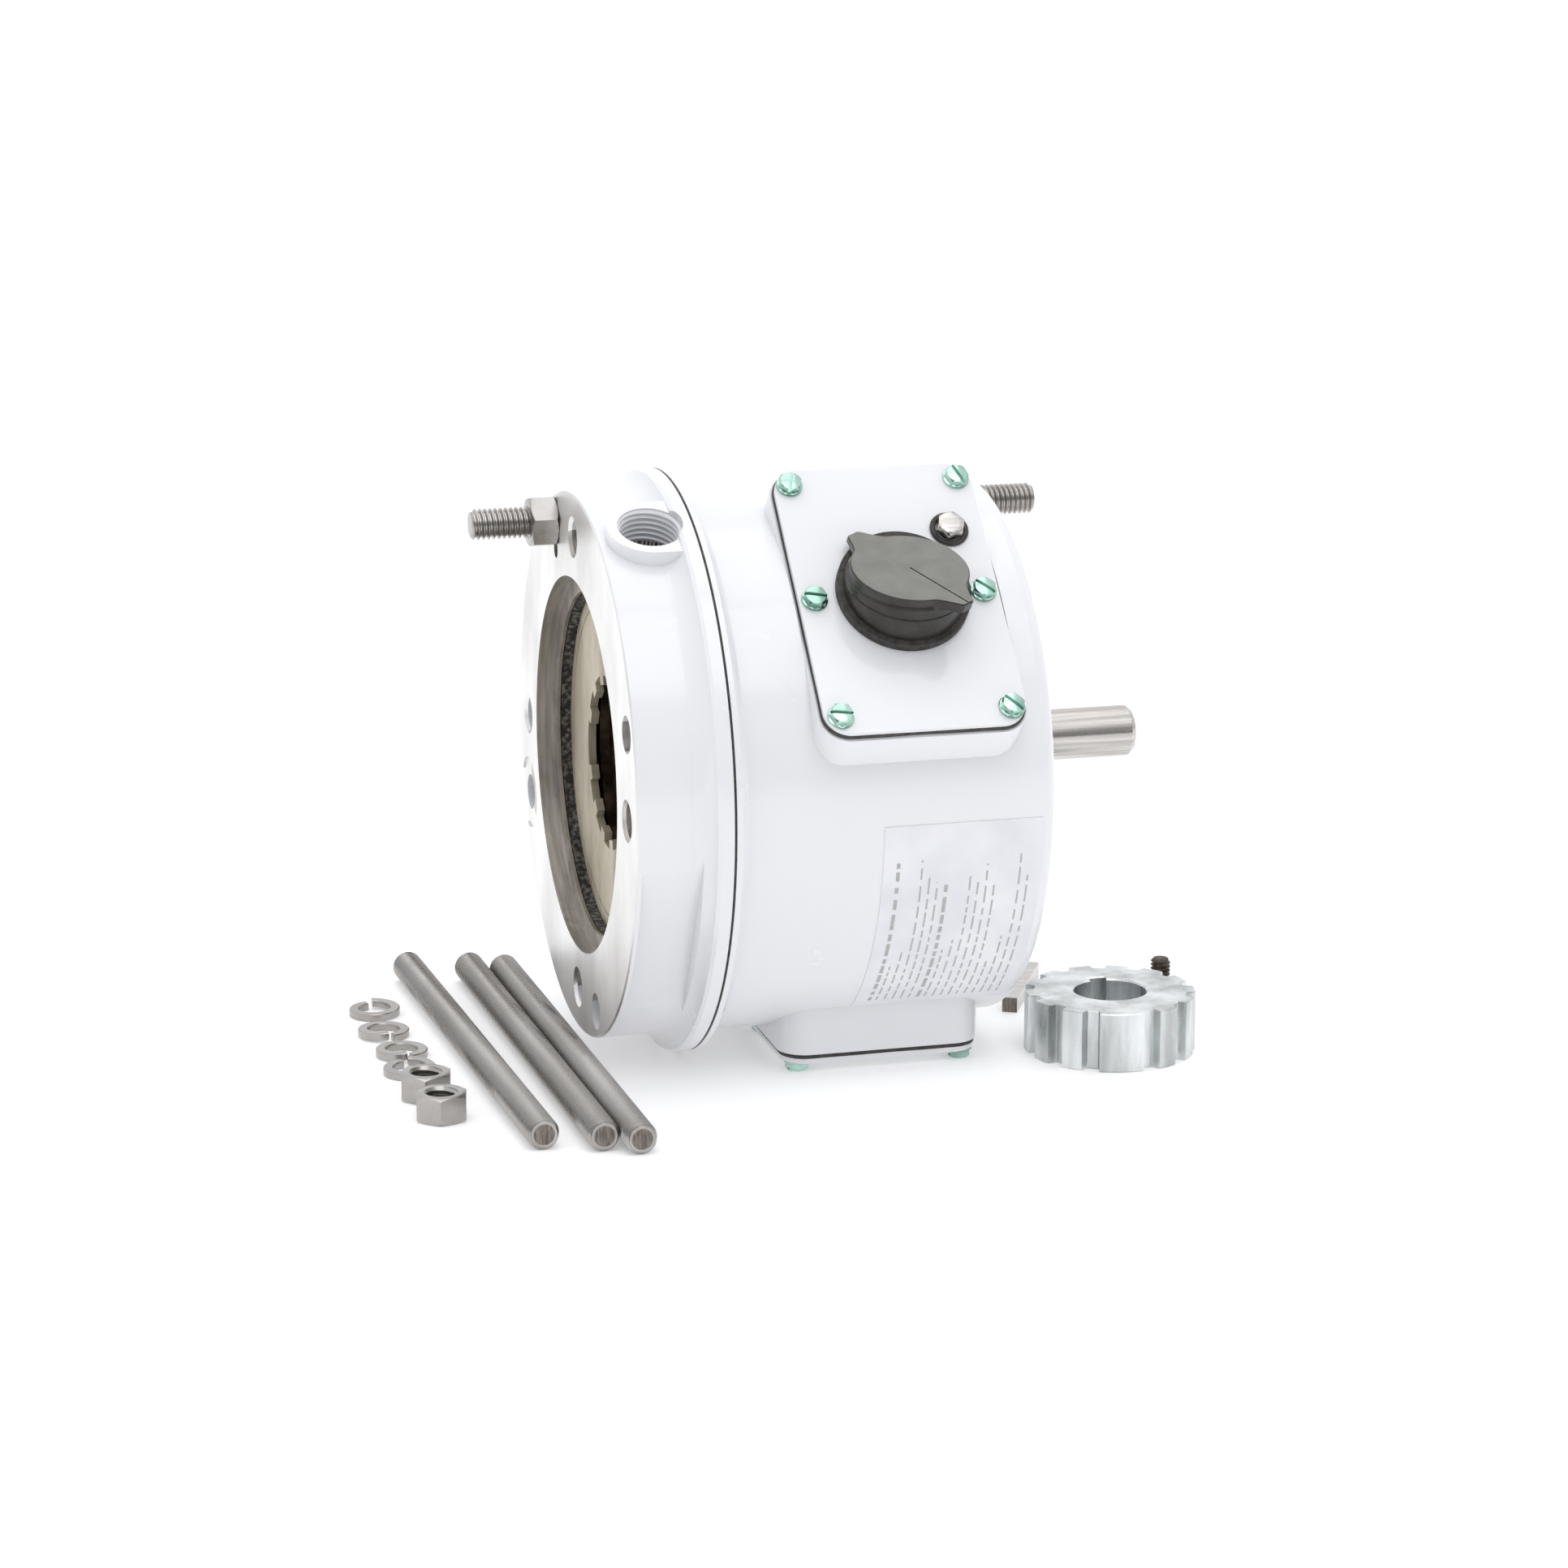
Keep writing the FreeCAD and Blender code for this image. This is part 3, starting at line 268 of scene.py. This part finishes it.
def key_run():
    """Direction of the loose key's longest side, from its corners."""
    points = [v.co for v in frame["nodes"]["loose_key"].data.vertices]
    low = min(points, key=lambda p: p.y)
    high = max(points, key=lambda p: p.y)
    return (high - low).normalized()


# ---- mesh building ----

def circle(r, z, count=48, centre=(0, 0)):
    step = 2 * math.pi / count
    return [Vector((centre[0] + r * math.cos(k * step), centre[1] + r * math.sin(k * step), z))
            for k in range(count)]


def outline(radius_at, z, count):
    """Closed loop whose radius is a function of its angle in radians; z may be one as well."""
    points = []
    for k in range(count):
        a = 2 * math.pi * k / count
        r = radius_at(a)
        points.append(Vector((r * math.cos(a), r * math.sin(a), z(a, r) if callable(z) else z)))
    return points


def skin(loops, start=True, end=True, closed=False):
    """Vertices and faces of a skin over loops of equal length, with its ends capped."""
    count = len(loops[0])
    verts = [v for loop in loops for v in loop]
    faces = []
    last = len(loops) if closed else len(loops) - 1
    for i in range(last):
        a = i * count
        b = (i + 1) % len(loops) * count
        for k in range(count):
            n = (k + 1) % count
            faces.append((a + k, a + n, b + n, b + k))
    if not closed:
        if start:
            faces.append(tuple(range(count))[::-1])
        if end:
            faces.append(tuple(range((len(loops) - 1) * count, len(loops) * count)))
    return verts, faces


def thread(length, outer, inner, pitch, end_r, steps=24, slope=1.0):
    """Helical thread along +Z; near its ends it runs into circles of radius end_r."""
    profile = [(0.0, inner), (0.12, inner), (0.42, outer), (0.58, outer), (0.88, inner)]
    turns = math.ceil(length / pitch) + 2
    width = len(profile)
    total = turns * steps
    verts = []
    for k in range(total + 1):
        a = 2 * math.pi * k / steps
        for share, r in profile:
            z = (k / steps - 1 + share) * pitch
            inward = min(z, length - z)
            if inward <= 0:
                z, r = min(max(z, 0), length), end_r
            else:
                limit = end_r + inward * slope * (1 if outer > end_r else -1)
                r = min(r, limit) if outer > end_r else max(r, limit)
            verts.append(Vector((r * math.cos(a), r * math.sin(a), z)))
    faces = []
    for k in range(total):
        for j in range(width - 1):
            i = k * width + j
            faces.append((i, i + width, i + width + 1, i + 1))
        if k + steps + 1 <= total:
            i = k * width + width - 1
            j = (k + steps) * width
            faces.append((i, i + width, j + width, j))
    return verts, faces


def joined(*skins):
    verts, faces = [], []
    for more_verts, more_faces in skins:
        start = len(verts)
        verts += more_verts
        faces += [tuple(start + i for i in face) for face in more_faces]
    return verts, faces


def placed(made, *matrices):
    """Copies of a skin, one for each placing matrix, as one skin."""
    verts, faces = made
    return joined(*[([m @ v for v in verts], faces) for m in matrices])


def add_piece(name, made, surface, body="root", replaces=(), sharp=32):
    """One mesh object that rides on a body, with its doubles merged and its normals outward."""
    mesh = bpy.data.meshes.new(name)
    mesh.from_pydata(*made[:1], [], made[1])
    work = bmesh.new()
    work.from_mesh(mesh)
    bmesh.ops.remove_doubles(work, verts=work.verts, dist=0.002 * MM)
    bmesh.ops.dissolve_degenerate(work, edges=work.edges, dist=0.0005 * MM)
    bmesh.ops.recalc_face_normals(work, faces=work.faces)
    work.to_mesh(mesh)
    work.free()
    mesh.polygons.foreach_set("use_smooth", [True] * len(mesh.polygons))
    mesh.set_sharp_from_angle(angle=math.radians(sharp))
    obj = bpy.data.objects.new(name, mesh)
    bpy.context.scene.collection.objects.link(obj)
    mesh.materials.append(SURFACES[surface])
    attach(obj, body)
    if replaces:
        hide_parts(*replaces)
    return obj


def carve(obj, cutters):
    """Cut a skin of closed shapes out of an object and keep the result as its mesh."""
    mesh = bpy.data.meshes.new("cutter")
    mesh.from_pydata(cutters[0], [], cutters[1])
    work = bmesh.new()
    work.from_mesh(mesh)
    bmesh.ops.recalc_face_normals(work, faces=work.faces)
    work.to_mesh(mesh)
    work.free()
    tool = bpy.data.objects.new("cutter", mesh)
    bpy.context.scene.collection.objects.link(tool)
    cut = obj.modifiers.new("cut", "BOOLEAN")
    cut.operation = "DIFFERENCE"
    cut.solver = "EXACT"
    cut.object = tool
    evaluated = obj.evaluated_get(bpy.context.evaluated_depsgraph_get())
    result = bpy.data.meshes.new_from_object(evaluated)
    obj.modifiers.clear()
    obj.data = result
    bpy.data.objects.remove(tool)


def cuboid(x, y, z):
    """Box skin from three (low, high) spans."""
    low = [Vector((a, b, z[0])) for a, b in ((x[0], y[0]), (x[1], y[0]), (x[1], y[1]), (x[0], y[1]))]
    high = [Vector((v.x, v.y, z[1])) for v in low]
    return skin([low, high])


# ---- placing ----

def spin(axis, degrees):
    return Matrix.Rotation(math.radians(degrees), 4, axis)


def turned(turn):
    return spin("X", turn)


def at(x, y, z):
    return Matrix.Translation(Vector((x, y, z)))


def lying_between(start, end, z):
    """Places a skin made along +Z on its side, from start towards end."""
    heading = math.degrees(math.atan2(end[1] - start[1], end[0] - start[0]))
    return at(start[0], start[1], z) @ spin("Z", heading) @ spin("Y", 90)


# ---- studs, nuts and washers ----

def stud_skin():
    minor = STUD_R - 0.85 * MM
    end_r = minor - 0.1 * MM
    ends = [skin([circle(end_r - 0.7 * MM, z, 24), circle(end_r, z, 24)], True, False)
            for z in (0, STUD_LENGTH)]
    return joined(thread(STUD_LENGTH, STUD_R, minor, STUD_PITCH, end_r), *ends)


def hex_radius(flats, heading=0.0):
    """Radius of a hexagon with a corner along its heading, in degrees from +X."""
    def at_angle(a):
        return flats / 2 / math.cos((a - math.radians(heading)) % (math.pi / 3) - math.pi / 6)
    return at_angle


def nut_skin(count=72):
    """Hexagon nut: faces chamfered at 30 degrees, threaded bore."""
    hexagon = hex_radius(NUT_FLATS)
    face_r = NUT_FLATS / 2 - 0.25 * MM
    mouth_r = STUD_R + 0.25 * MM
    slant = math.tan(math.radians(30))

    def low(a, r):
        return (r - face_r) * slant

    def high(a, r):
        return NUT_HEIGHT - (r - face_r) * slant

    outside = skin([circle(mouth_r, 0, count), circle(face_r, 0, count), outline(hexagon, low, count),
                    outline(hexagon, high, count), circle(face_r, NUT_HEIGHT, count),
                    circle(mouth_r, NUT_HEIGHT, count)], False, False)
    bore = thread(NUT_HEIGHT, STUD_R - 0.85 * MM, STUD_R, STUD_PITCH, mouth_r, count)
    return joined(outside, bore)


def washer_skin(gap_deg, lift=0.9 * MM):
    """Split spring washer whose two arms part in height where it is split."""
    outer, inner, thick = 7.9 * MM, 4.95 * MM, 2.3 * MM
    edge = 0.25 * MM
    section = [(inner + edge, 0), (outer - edge, 0), (outer, edge), (outer, thick - edge),
               (outer - edge, thick), (inner + edge, thick), (inner, thick - edge), (inner, edge)]
    steps = 60
    half_gap = 7.0
    loops = []
    for k in range(steps + 1):
        share = k / steps
        a = math.radians(gap_deg + half_gap + (360 - 2 * half_gap) * share)
        rise = lift * share ** 3
        loops.append([Vector((r * math.cos(a), r * math.sin(a), z + rise)) for r, z in section])
    return skin(loops)


def build_studs():
    y = -BOLT_CIRCLE_R * math.sin(math.radians(STUD_TURN))
    z = BOLT_CIRCLE_R * math.cos(math.radians(STUD_TURN))
    add_piece("through_stud_threaded", placed(stud_skin(), at(STUD_START, y, z) @ spin("Y", 90)),
              "stainless", replaces=["through_stud"])
    nut_place = turned(NUT_TURN) @ spin("Y", -90)
    add_piece("stud_nut_chamfered", placed(nut_skin(), at(0, y, z) @ nut_place),
              "stainless", replaces=["stud_nut"])
    ends = (((-30.5, -95.9), (-38.7, 83.7)), ((-14.3, -100.3), (-19.6, 76.6)), ((-4.5, -106.4), (-9.3, 72.1)))
    places = []
    for (xa, ya), (xb, yb) in ends:
        middle = Vector(((xa + xb) / 2, (ya + yb) / 2)) * MM
        along = Vector((xb - xa, yb - ya)).normalized() * STUD_LENGTH / 2
        places.append(lying_between(middle - along, middle + along, FLOOR_Z + STUD_R))
    studs = add_piece("loose_studs_threaded", placed(stud_skin(), *places), "stainless",
                      replaces=["loose_studs"])
    studs.data.materials.append(SURFACES["sawn_end"])
    for face in studs.data.polygons:
        if len(face.vertices) > 8:
            face.material_index = 1


def build_loose_nuts_and_washers():
    nuts = [at(x * MM, y * MM, FLOOR_Z) @ spin("Z", NUT_HEADING) for x, y in ((-54.4, -39.1), (-53.5, -59.1))]
    add_piece("loose_nuts_chamfered", placed(nut_skin(), *nuts), "stainless",
              replaces=["loose_nuts"])
    washers = ((-55.2, 46.9, 95.0), (-56.2, 24.5, -80.0), (-54.3, 3.1, -80.0), (-55.1, -14.8, 92.0))
    skins = [placed(washer_skin(gap), at(x * MM, y * MM, FLOOR_Z)) for x, y, gap in washers]
    add_piece("loose_lock_washers_split", joined(*skins), "stainless",
              replaces=["loose_lock_washers"])


# ---- cover screws, plug and knob ----

COVER_HALF = (30.2 * MM, 45.6 * MM)
COVER_CORNER = 7.8 * MM
COVER_T = 1.6 * MM
GASKET_T = 1.4 * MM
CORNER_POINTS = 9
SIDE_POINTS = 24
SCREW_FLATS = 6.35 * MM
SCREW_HEAD = 3.0 * MM


def screw_skin(count=48):
    """Slotted hexagon head over a thin washer face."""
    hexagon = hex_radius(SCREW_FLATS)
    flange_r = 3.95 * MM
    top_r = SCREW_FLATS / 2 - 0.2 * MM

    def shoulder(a, r):
        return SCREW_HEAD - 0.35 * MM - (r - top_r) * 0.6

    return skin([circle(flange_r - 0.1 * MM, 0, count), circle(flange_r, 0.15 * MM, count),
                 circle(flange_r, 0.5 * MM, count), circle(flange_r - 0.2 * MM, 0.65 * MM, count),
                 outline(hexagon, 0.75 * MM, count), outline(hexagon, shoulder, count),
                 circle(top_r, SCREW_HEAD - 0.2 * MM, count), circle(top_r - 0.9 * MM, SCREW_HEAD, count)])


def build_cover_screws():
    """Six screws to a cover, each slot left at its own heading."""
    covers = (("front", FRONT_TURN, FRONT_FACE, (-8.0, -12.0, 75.0, -48.0, -42.0, -68.0)),
              ("bottom", BOTTOM_TURN, BOTTOM_FACE, (10.0, 55.0, -30.0, 80.0, 25.0, -15.0)))
    for side, turn, face, slots in covers:
        node = side + "_cover_screws"
        points = [(sx, sy) for sx in (-1, 1) for sy in (-1, 0, 1)]
        places = [turned(turn) @ at(COVER_X + sx * SCREW_PITCH[0], sy * SCREW_PITCH[1], face)
                  @ spin("Z", heading) for (sx, sy), heading in zip(points, slots)]
        screws = add_piece(node + "_slotted", placed(screw_skin(), *places), "zinc_screws",
                           replaces=[node], sharp=25)
        slot = cuboid((-5 * MM, 5 * MM), (-0.5 * MM, 0.5 * MM), (SCREW_HEAD - 1.1 * MM, SCREW_HEAD + MM))
        carve(screws, placed(slot, *places))


def cover_outline(grow_at, z):
    """Rounded rectangle about a cover's middle, grown by a length that varies round the loop."""
    half_x, half_y = COVER_HALF
    points = []
    corners = ((1, 1, 0), (-1, 1, 90), (-1, -1, 180), (1, -1, 270))
    for sx, sy, start in corners:
        for k in range(CORNER_POINTS):
            a = math.radians(start + 90 * k / (CORNER_POINTS - 1))
            centre = Vector((sx * (half_x - COVER_CORNER), sy * (half_y - COVER_CORNER), z))
            points.append((centre, Vector((math.cos(a), math.sin(a), 0))))
        points += [None] * SIDE_POINTS
    loop = []
    for k, point in enumerate(points):
        if point is None:
            start = k - k % (CORNER_POINTS + SIDE_POINTS) + CORNER_POINTS - 1
            share = (k - start) / (SIDE_POINTS + 1)
            (centre0, out0), (centre1, _) = points[start], points[(start + SIDE_POINTS + 1) % len(points)]
            point = (centre0.lerp(centre1, share), out0)
        centre, out = point
        loop.append(centre + out * (COVER_CORNER + grow_at(k)))
    return loop


def build_gaskets():
    """Each cover's gasket, pressed out unevenly past the edge between its screws."""
    def pressed(k):
        return (0.34 + 0.1 * math.sin(k * 0.19 + 1.0) + 0.06 * math.sin(k * 0.57)) * MM

    for side, turn, face in (("front", FRONT_TURN, FRONT_FACE), ("bottom", BOTTOM_TURN, BOTTOM_FACE)):
        high = face - COVER_T
        low = high - GASKET_T
        inner = -3.0 * MM
        loops = [cover_outline(lambda k: inner, low), cover_outline(lambda k: pressed(k) - 0.15 * MM, low),
                 cover_outline(pressed, low + 0.3 * MM), cover_outline(pressed, high - 0.3 * MM),
                 cover_outline(lambda k: pressed(k) - 0.15 * MM, high), cover_outline(lambda k: inner, high)]
        place = turned(turn) @ at(COVER_X, 0, 0)
        add_piece(side + "_cover_gasket_pressed", placed(skin(loops, closed=True), place), "black_rubber",
                  replaces=[side + "_cover_gasket"], sharp=50)


def build_plug():
    hexagon = hex_radius(7.6 * MM, 12.0)
    x, y = COVER_X + 19.6 * MM, 21.8 * MM
    place = turned(FRONT_TURN) @ at(x, y, FRONT_FACE)
    low, high = 1.2 * MM, 4.2 * MM
    count = 60
    head = skin([outline(hexagon, low, count), outline(hexagon, high - 0.9 * MM, count),
                 outline(lambda a: 0.5 * (hexagon(a) + 3.7 * MM), high - 0.3 * MM, count),
                 circle(3.3 * MM, high - 0.05 * MM, count), circle(2.4 * MM, high, count)])
    add_piece("inspection_plug_head", placed(head, place), "bright_steel",
              replaces=["inspection_plug"], sharp=50)
    r, bead = 5.0 * MM, 0.85 * MM
    loops = []
    for k in range(16):
        a = 2 * math.pi * k / 16
        loops.append(circle(r + bead * math.cos(a), 0.6 * MM + 0.6 * MM * math.sin(a), 48))
    add_piece("plug_washer_round", placed(skin(loops, closed=True), place), "black_rubber",
              replaces=["plug_washer"], sharp=60)


KNOB_CENTRE = (84.95 * MM, 0.5 * MM)
KNOB_R = 18.2 * MM
KNOB_LOW = 87.4 * MM
KNOB_TOP = (84.85 * MM, 1.35 * MM, 96.5 * MM)
KNOB_TOP_R = 17.4 * MM
KNOB_TILT = 23.0
LUG_TURN = -58.0
LUG_REACH = 23.3 * MM


def knob_top_radius(a):
    """Round top face, drawn out into two blunt lugs with hollow flanks."""
    off = abs((math.degrees(a) - LUG_TURN + 90) % 180 - 90)
    tip, root = 5.0, 27.0
    if off <= tip:
        return LUG_REACH * math.cos(math.radians(tip)) / math.cos(math.radians(off))
    share = max(0.0, 1 - (off - tip) / (root - tip))
    return KNOB_TOP_R + (LUG_REACH - KNOB_TOP_R) * share ** 2.2


def build_knob():
    count = 180
    tilt = at(*KNOB_TOP) @ spin("X", -KNOB_TILT)
    chamfer = 0.4 * MM

    def top_loop(radius_at, sink=0.0):
        return [tilt @ v for v in outline(radius_at, -sink, count)]

    rim = top_loop(lambda a: knob_top_radius(a) - chamfer)
    lug_edge = top_loop(knob_top_radius, chamfer)
    drum_edge = top_loop(lambda a: KNOB_TOP_R, chamfer)
    foot = circle(KNOB_R, KNOB_LOW, count, KNOB_CENTRE)

    lug_low = []
    for tip, high, low in zip(lug_edge, drum_edge, foot):
        drop = min(3.6 * MM, 0.55 * (high.z - low.z))
        lug_low.append(Vector((tip.x, tip.y, tip.z - drop)))
    under = []
    for high, low in zip(drum_edge, foot):
        drop = min(3.9 * MM, 0.6 * (high.z - low.z))
        under.append(high.lerp(low, drop / (high.z - low.z)))

    def lower(share, inset=0.0):
        loop = []
        for high, low in zip(under, foot):
            point = high.lerp(low, share)
            centre = Vector((*KNOB_CENTRE, point.z))
            loop.append(point + (centre - point).normalized() * inset)
        return loop

    groove = 0.35 * MM
    loops = [foot, lower(0.9), lower(0.36), lower(0.34, groove), lower(0.3, groove), lower(0.28), under,
             lug_low, lug_edge, rim]
    place = turned(FRONT_TURN)
    knob = add_piece("release_knob_moulded", placed(skin(loops), place), "knob_plastic",
                     body="release_knob", replaces=["release_knob"], sharp=30)
    line = cuboid((0, LUG_REACH + MM), (-0.22 * MM, 0.22 * MM), (-0.35 * MM, MM))
    carve(knob, placed(line, place @ tilt @ spin("Z", LUG_TURN)))
    up = (place @ tilt).to_3x3() @ Vector((0, 0, 1))
    # Faces that do not face up take the darker side colour: painted shade on the knob's sides.
    knob.data.materials.append(SURFACES["knob_side_painted_shade"])
    for face in knob.data.polygons:
        if face.normal.dot(up) < 0.9:
            face.material_index = 1


# ---- motor hub and its set screw ----

HUB_PLACE = (156.5 * MM, -43.8 * MM)
HUB_HEIGHT = 18.3 * MM
HUB_TIP_R = 26.1 * MM
HUB_ROOT_R = 23.3 * MM
HUB_BORE_R = 0.875 * INCH / 2
HUB_WIDE_TOOTH = 259.5
NARROW_TEETH, NARROW_HALF, WIDE_HALF = 12, 7.3, 15.0
GAP = (360 - 2 * WIDE_HALF - 2 * NARROW_TEETH * NARROW_HALF) / (NARROW_TEETH + 1)


def hub_outline(a, shrink=0.0):
    """Radius of the toothed outline: flat tips, gaps with rounded bottoms."""
    off = (math.degrees(a) - HUB_WIDE_TOOTH + 180) % 360 - 180
    off = abs(off)
    if off <= WIDE_HALF:
        return HUB_TIP_R - shrink
    step = 2 * NARROW_HALF + GAP
    into = (off - WIDE_HALF) % step
    if into >= GAP:
        return HUB_TIP_R - shrink
    across = abs(into / GAP - 0.5) * 2
    corner = 0.62
    rise = max(0.0, (across - corner) / (1 - corner))
    return HUB_ROOT_R + (HUB_TIP_R - HUB_ROOT_R) * rise ** 2.4 - shrink


def bore_outline(a):
    """Radius of the bore with its keyway to the back."""
    off = abs((math.degrees(a) - 90 + 180) % 360 - 180)
    half = math.degrees(math.atan2(3.175 * MM, HUB_BORE_R + 2.6 * MM))
    if off < half:
        return (HUB_BORE_R + 2.6 * MM) / math.cos(math.radians(off))
    return HUB_BORE_R


def build_hub():
    count = 720
    chamfer = 0.35 * MM
    loops = [outline(bore_outline, 0, count), outline(lambda a: hub_outline(a, chamfer), 0, count),
             outline(hub_outline, chamfer, count), outline(hub_outline, HUB_HEIGHT - chamfer, count),
             outline(lambda a: hub_outline(a, chamfer), HUB_HEIGHT, count),
             outline(lambda a: bore_outline(a) + 0.5 * MM, HUB_HEIGHT, count),
             outline(bore_outline, HUB_HEIGHT - 0.5 * MM, count)]
    add_piece("motor_hub_toothed", placed(skin(loops, closed=True), at(*HUB_PLACE, FLOOR_Z)),
              "zinc_hub", replaces=["motor_hub"], sharp=25)


def build_set_screw():
    r, length = 0.25 * INCH / 2, 7.2 * MM
    end_r = r - 0.9 * MM
    body = thread(length, r, r - 0.55 * MM, 1.27 * MM, end_r)
    low = skin([circle(end_r - 0.5 * MM, 0, 24), circle(end_r, 0, 24)], True, False)
    high = skin([circle(end_r - 1.1 * MM, length, 24), circle(end_r, length, 24)], True, False)
    add_piece("hub_set_screw_threaded", placed(joined(body, low, high), at(196 * MM, 20 * MM, FLOOR_Z)),
              "black_oxide", replaces=["hub_set_screw"])


# ---- conduit thread and label ----

def build_conduit_thread():
    """Rolled pipe thread lining the conduit entry, painted over."""
    length, outer, crest = CONDUIT_THREAD, 9.5 * MM, 8.7 * MM
    mouth = 9.45 * MM
    wall = skin([circle(mouth, 0), circle(outer, 0), circle(outer, length), circle(mouth, length)],
                False, False)
    lining = joined(wall, thread(length, crest, outer - 0.05 * MM, 1.814 * MM, mouth, 48))
    place = turned(CONDUIT_TURN) @ at(CONDUIT_X, 0, CONDUIT_FACE - length)
    add_piece("conduit_thread", placed(lining, place), "white_paint")


def label_mark(x0, x1, turn0, turn1):
    """Thin printed bar on the label between two places along X and two turns."""
    steps = max(2, int(abs(turn1 - turn0)))
    low, high = BODY_R + 0.252 * MM, BODY_R + 0.29 * MM
    loops = []
    for k in range(steps + 1):
        t = math.radians(turn0 + (turn1 - turn0) * k / steps)
        loops.append([Vector((x, -r * math.sin(t), r * math.cos(t)))
                      for x, r in ((x0, low), (x1, low), (x1, high), (x0, high))])
    return skin(loops)


def build_label_marks():
    """Generic grey bars in rows, two of the rows heavier: no lettering."""
    draw = random.Random(7)
    marks = []
    first, last = LABEL_TURNS
    for row in range(LABEL_ROWS):
        x = LABEL_START + LABEL_MARGIN + LABEL_PITCH * row
        thick = HEAVY_BAR if row in HEAVY_ROWS else LIGHT_BAR
        turn = last - 3.0
        end = first + (28.0 if row % 6 in (1, 2) else 5.0) + draw.uniform(0, 9)
        while turn > end:
            word = draw.uniform(1.2, 4.2)
            marks.append(label_mark(x, x + thick, max(turn - word, end), turn))
            turn -= word + draw.uniform(0.7, 1.6)
    add_piece("rating_label_marks", joined(*marks), "label_ink")


# ---- camera, lights and floor ----

CAMERA_PLACE = (-0.2637, -1.2332, 0.3115)
CAMERA_AZIMUTH = -14.933
CAMERA_ELEVATION = 14.147
CAMERA_LENS = 98.74
CAMERA_SENSOR = 36
LAMP_TARGET = Vector((0.07, 0, 0))
LAMPS = (("key", (0.1, -0.9, 1.4), 1.1, 5), ("overhead", (0.1, 0.3, 1.6), 1.2, 4.5))

def sky_strength(tree):
    """Soft light from above and behind that fades to a dim room on the front side."""
    coords = tree.nodes.new("ShaderNodeTexCoord")
    aim = tree.nodes.new("ShaderNodeVectorMath")
    aim.operation = "DOT_PRODUCT"
    aim.inputs[1].default_value = (0.0, 0.5, 0.866)
    spread = tree.nodes.new("ShaderNodeMapRange")
    spread.interpolation_type = "SMOOTHSTEP"
    spread.inputs["From Min"].default_value = -0.55
    spread.inputs["From Max"].default_value = 0.5
    spread.inputs["To Min"].default_value = 0.22
    spread.inputs["To Max"].default_value = 1.05
    tree.links.new(coords.outputs["Generated"], aim.inputs[0])
    tree.links.new(aim.outputs["Value"], spread.inputs["Value"])
    return spread.outputs["Result"]


def build_stage():
    bpy.ops.mesh.primitive_plane_add(size=40, location=(0, 15, FLOOR_Z - 0.02 * MM))
    floor = bpy.context.object
    floor.name = "studio_floor"
    floor.data.materials.append(SURFACES["pale_floor"])
    world = bpy.data.worlds.new("studio")
    bpy.context.scene.world = world
    world.use_nodes = True
    background = world.node_tree.nodes["Background"]
    background.inputs["Color"].default_value = (0.98, 0.985, 1.0, 1)
    world.node_tree.links.new(sky_strength(world.node_tree), background.inputs["Strength"])
    for name, place, size, power in LAMPS:
        data = bpy.data.lights.new(name, "AREA")
        data.size = size
        data.energy = power
        lamp = bpy.data.objects.new(name, data)
        lamp.location = place
        lamp.rotation_euler = (LAMP_TARGET - Vector(place)).to_track_quat("-Z", "Y").to_euler()
        bpy.context.scene.collection.objects.link(lamp)


def build_camera():
    data = bpy.data.cameras.new("camera")
    data.lens = CAMERA_LENS
    data.sensor_width = CAMERA_SENSOR
    data.clip_end = 20
    camera = bpy.data.objects.new("camera", data)
    azimuth, elevation = math.radians(CAMERA_AZIMUTH), math.radians(CAMERA_ELEVATION)
    forward = Vector((-math.sin(azimuth) * math.cos(elevation), math.cos(azimuth) * math.cos(elevation),
                      -math.sin(elevation)))
    camera.location = CAMERA_PLACE
    camera.rotation_euler = forward.to_track_quat("-Z", "Y").to_euler()
    bpy.context.scene.collection.objects.link(camera)
    bpy.context.scene.camera = camera
    bpy.context.scene.view_settings.view_transform = "Standard"


build_camera()
build_stage()
dress_cad_nodes()
bare_faces("end_plate", "bare_casting", lambda c, n: c.x < 0.7 * MM and radius(c) < BODY_R + MM)
# Faces inside the register take the darker copy of the bare metal: painted shade.
bare_faces("end_plate", "register_wall_painted_shade", lambda c, n: c.x > 0.1 * MM and radius(c) < 71 * MM)
bare_faces("housing", "bare_casting", lambda c, n: radius(c) < 74 * MM and c.x < 120 * MM)
# Dark brown cast_iron in the conduit bore below its threads: painted shade of the enclosed bore.
bare_faces("end_plate", "cast_iron", in_conduit_bore_shade)
bare_faces("loose_key", "sawn_end", lambda c, n: abs(n.z) < 0.5 and abs(n.dot(key_run())) > 0.8)
build_studs()
build_loose_nuts_and_washers()
build_cover_screws()
build_gaskets()
build_plug()
build_knob()
build_hub()
build_set_screw()
build_conduit_thread()
build_label_marks()
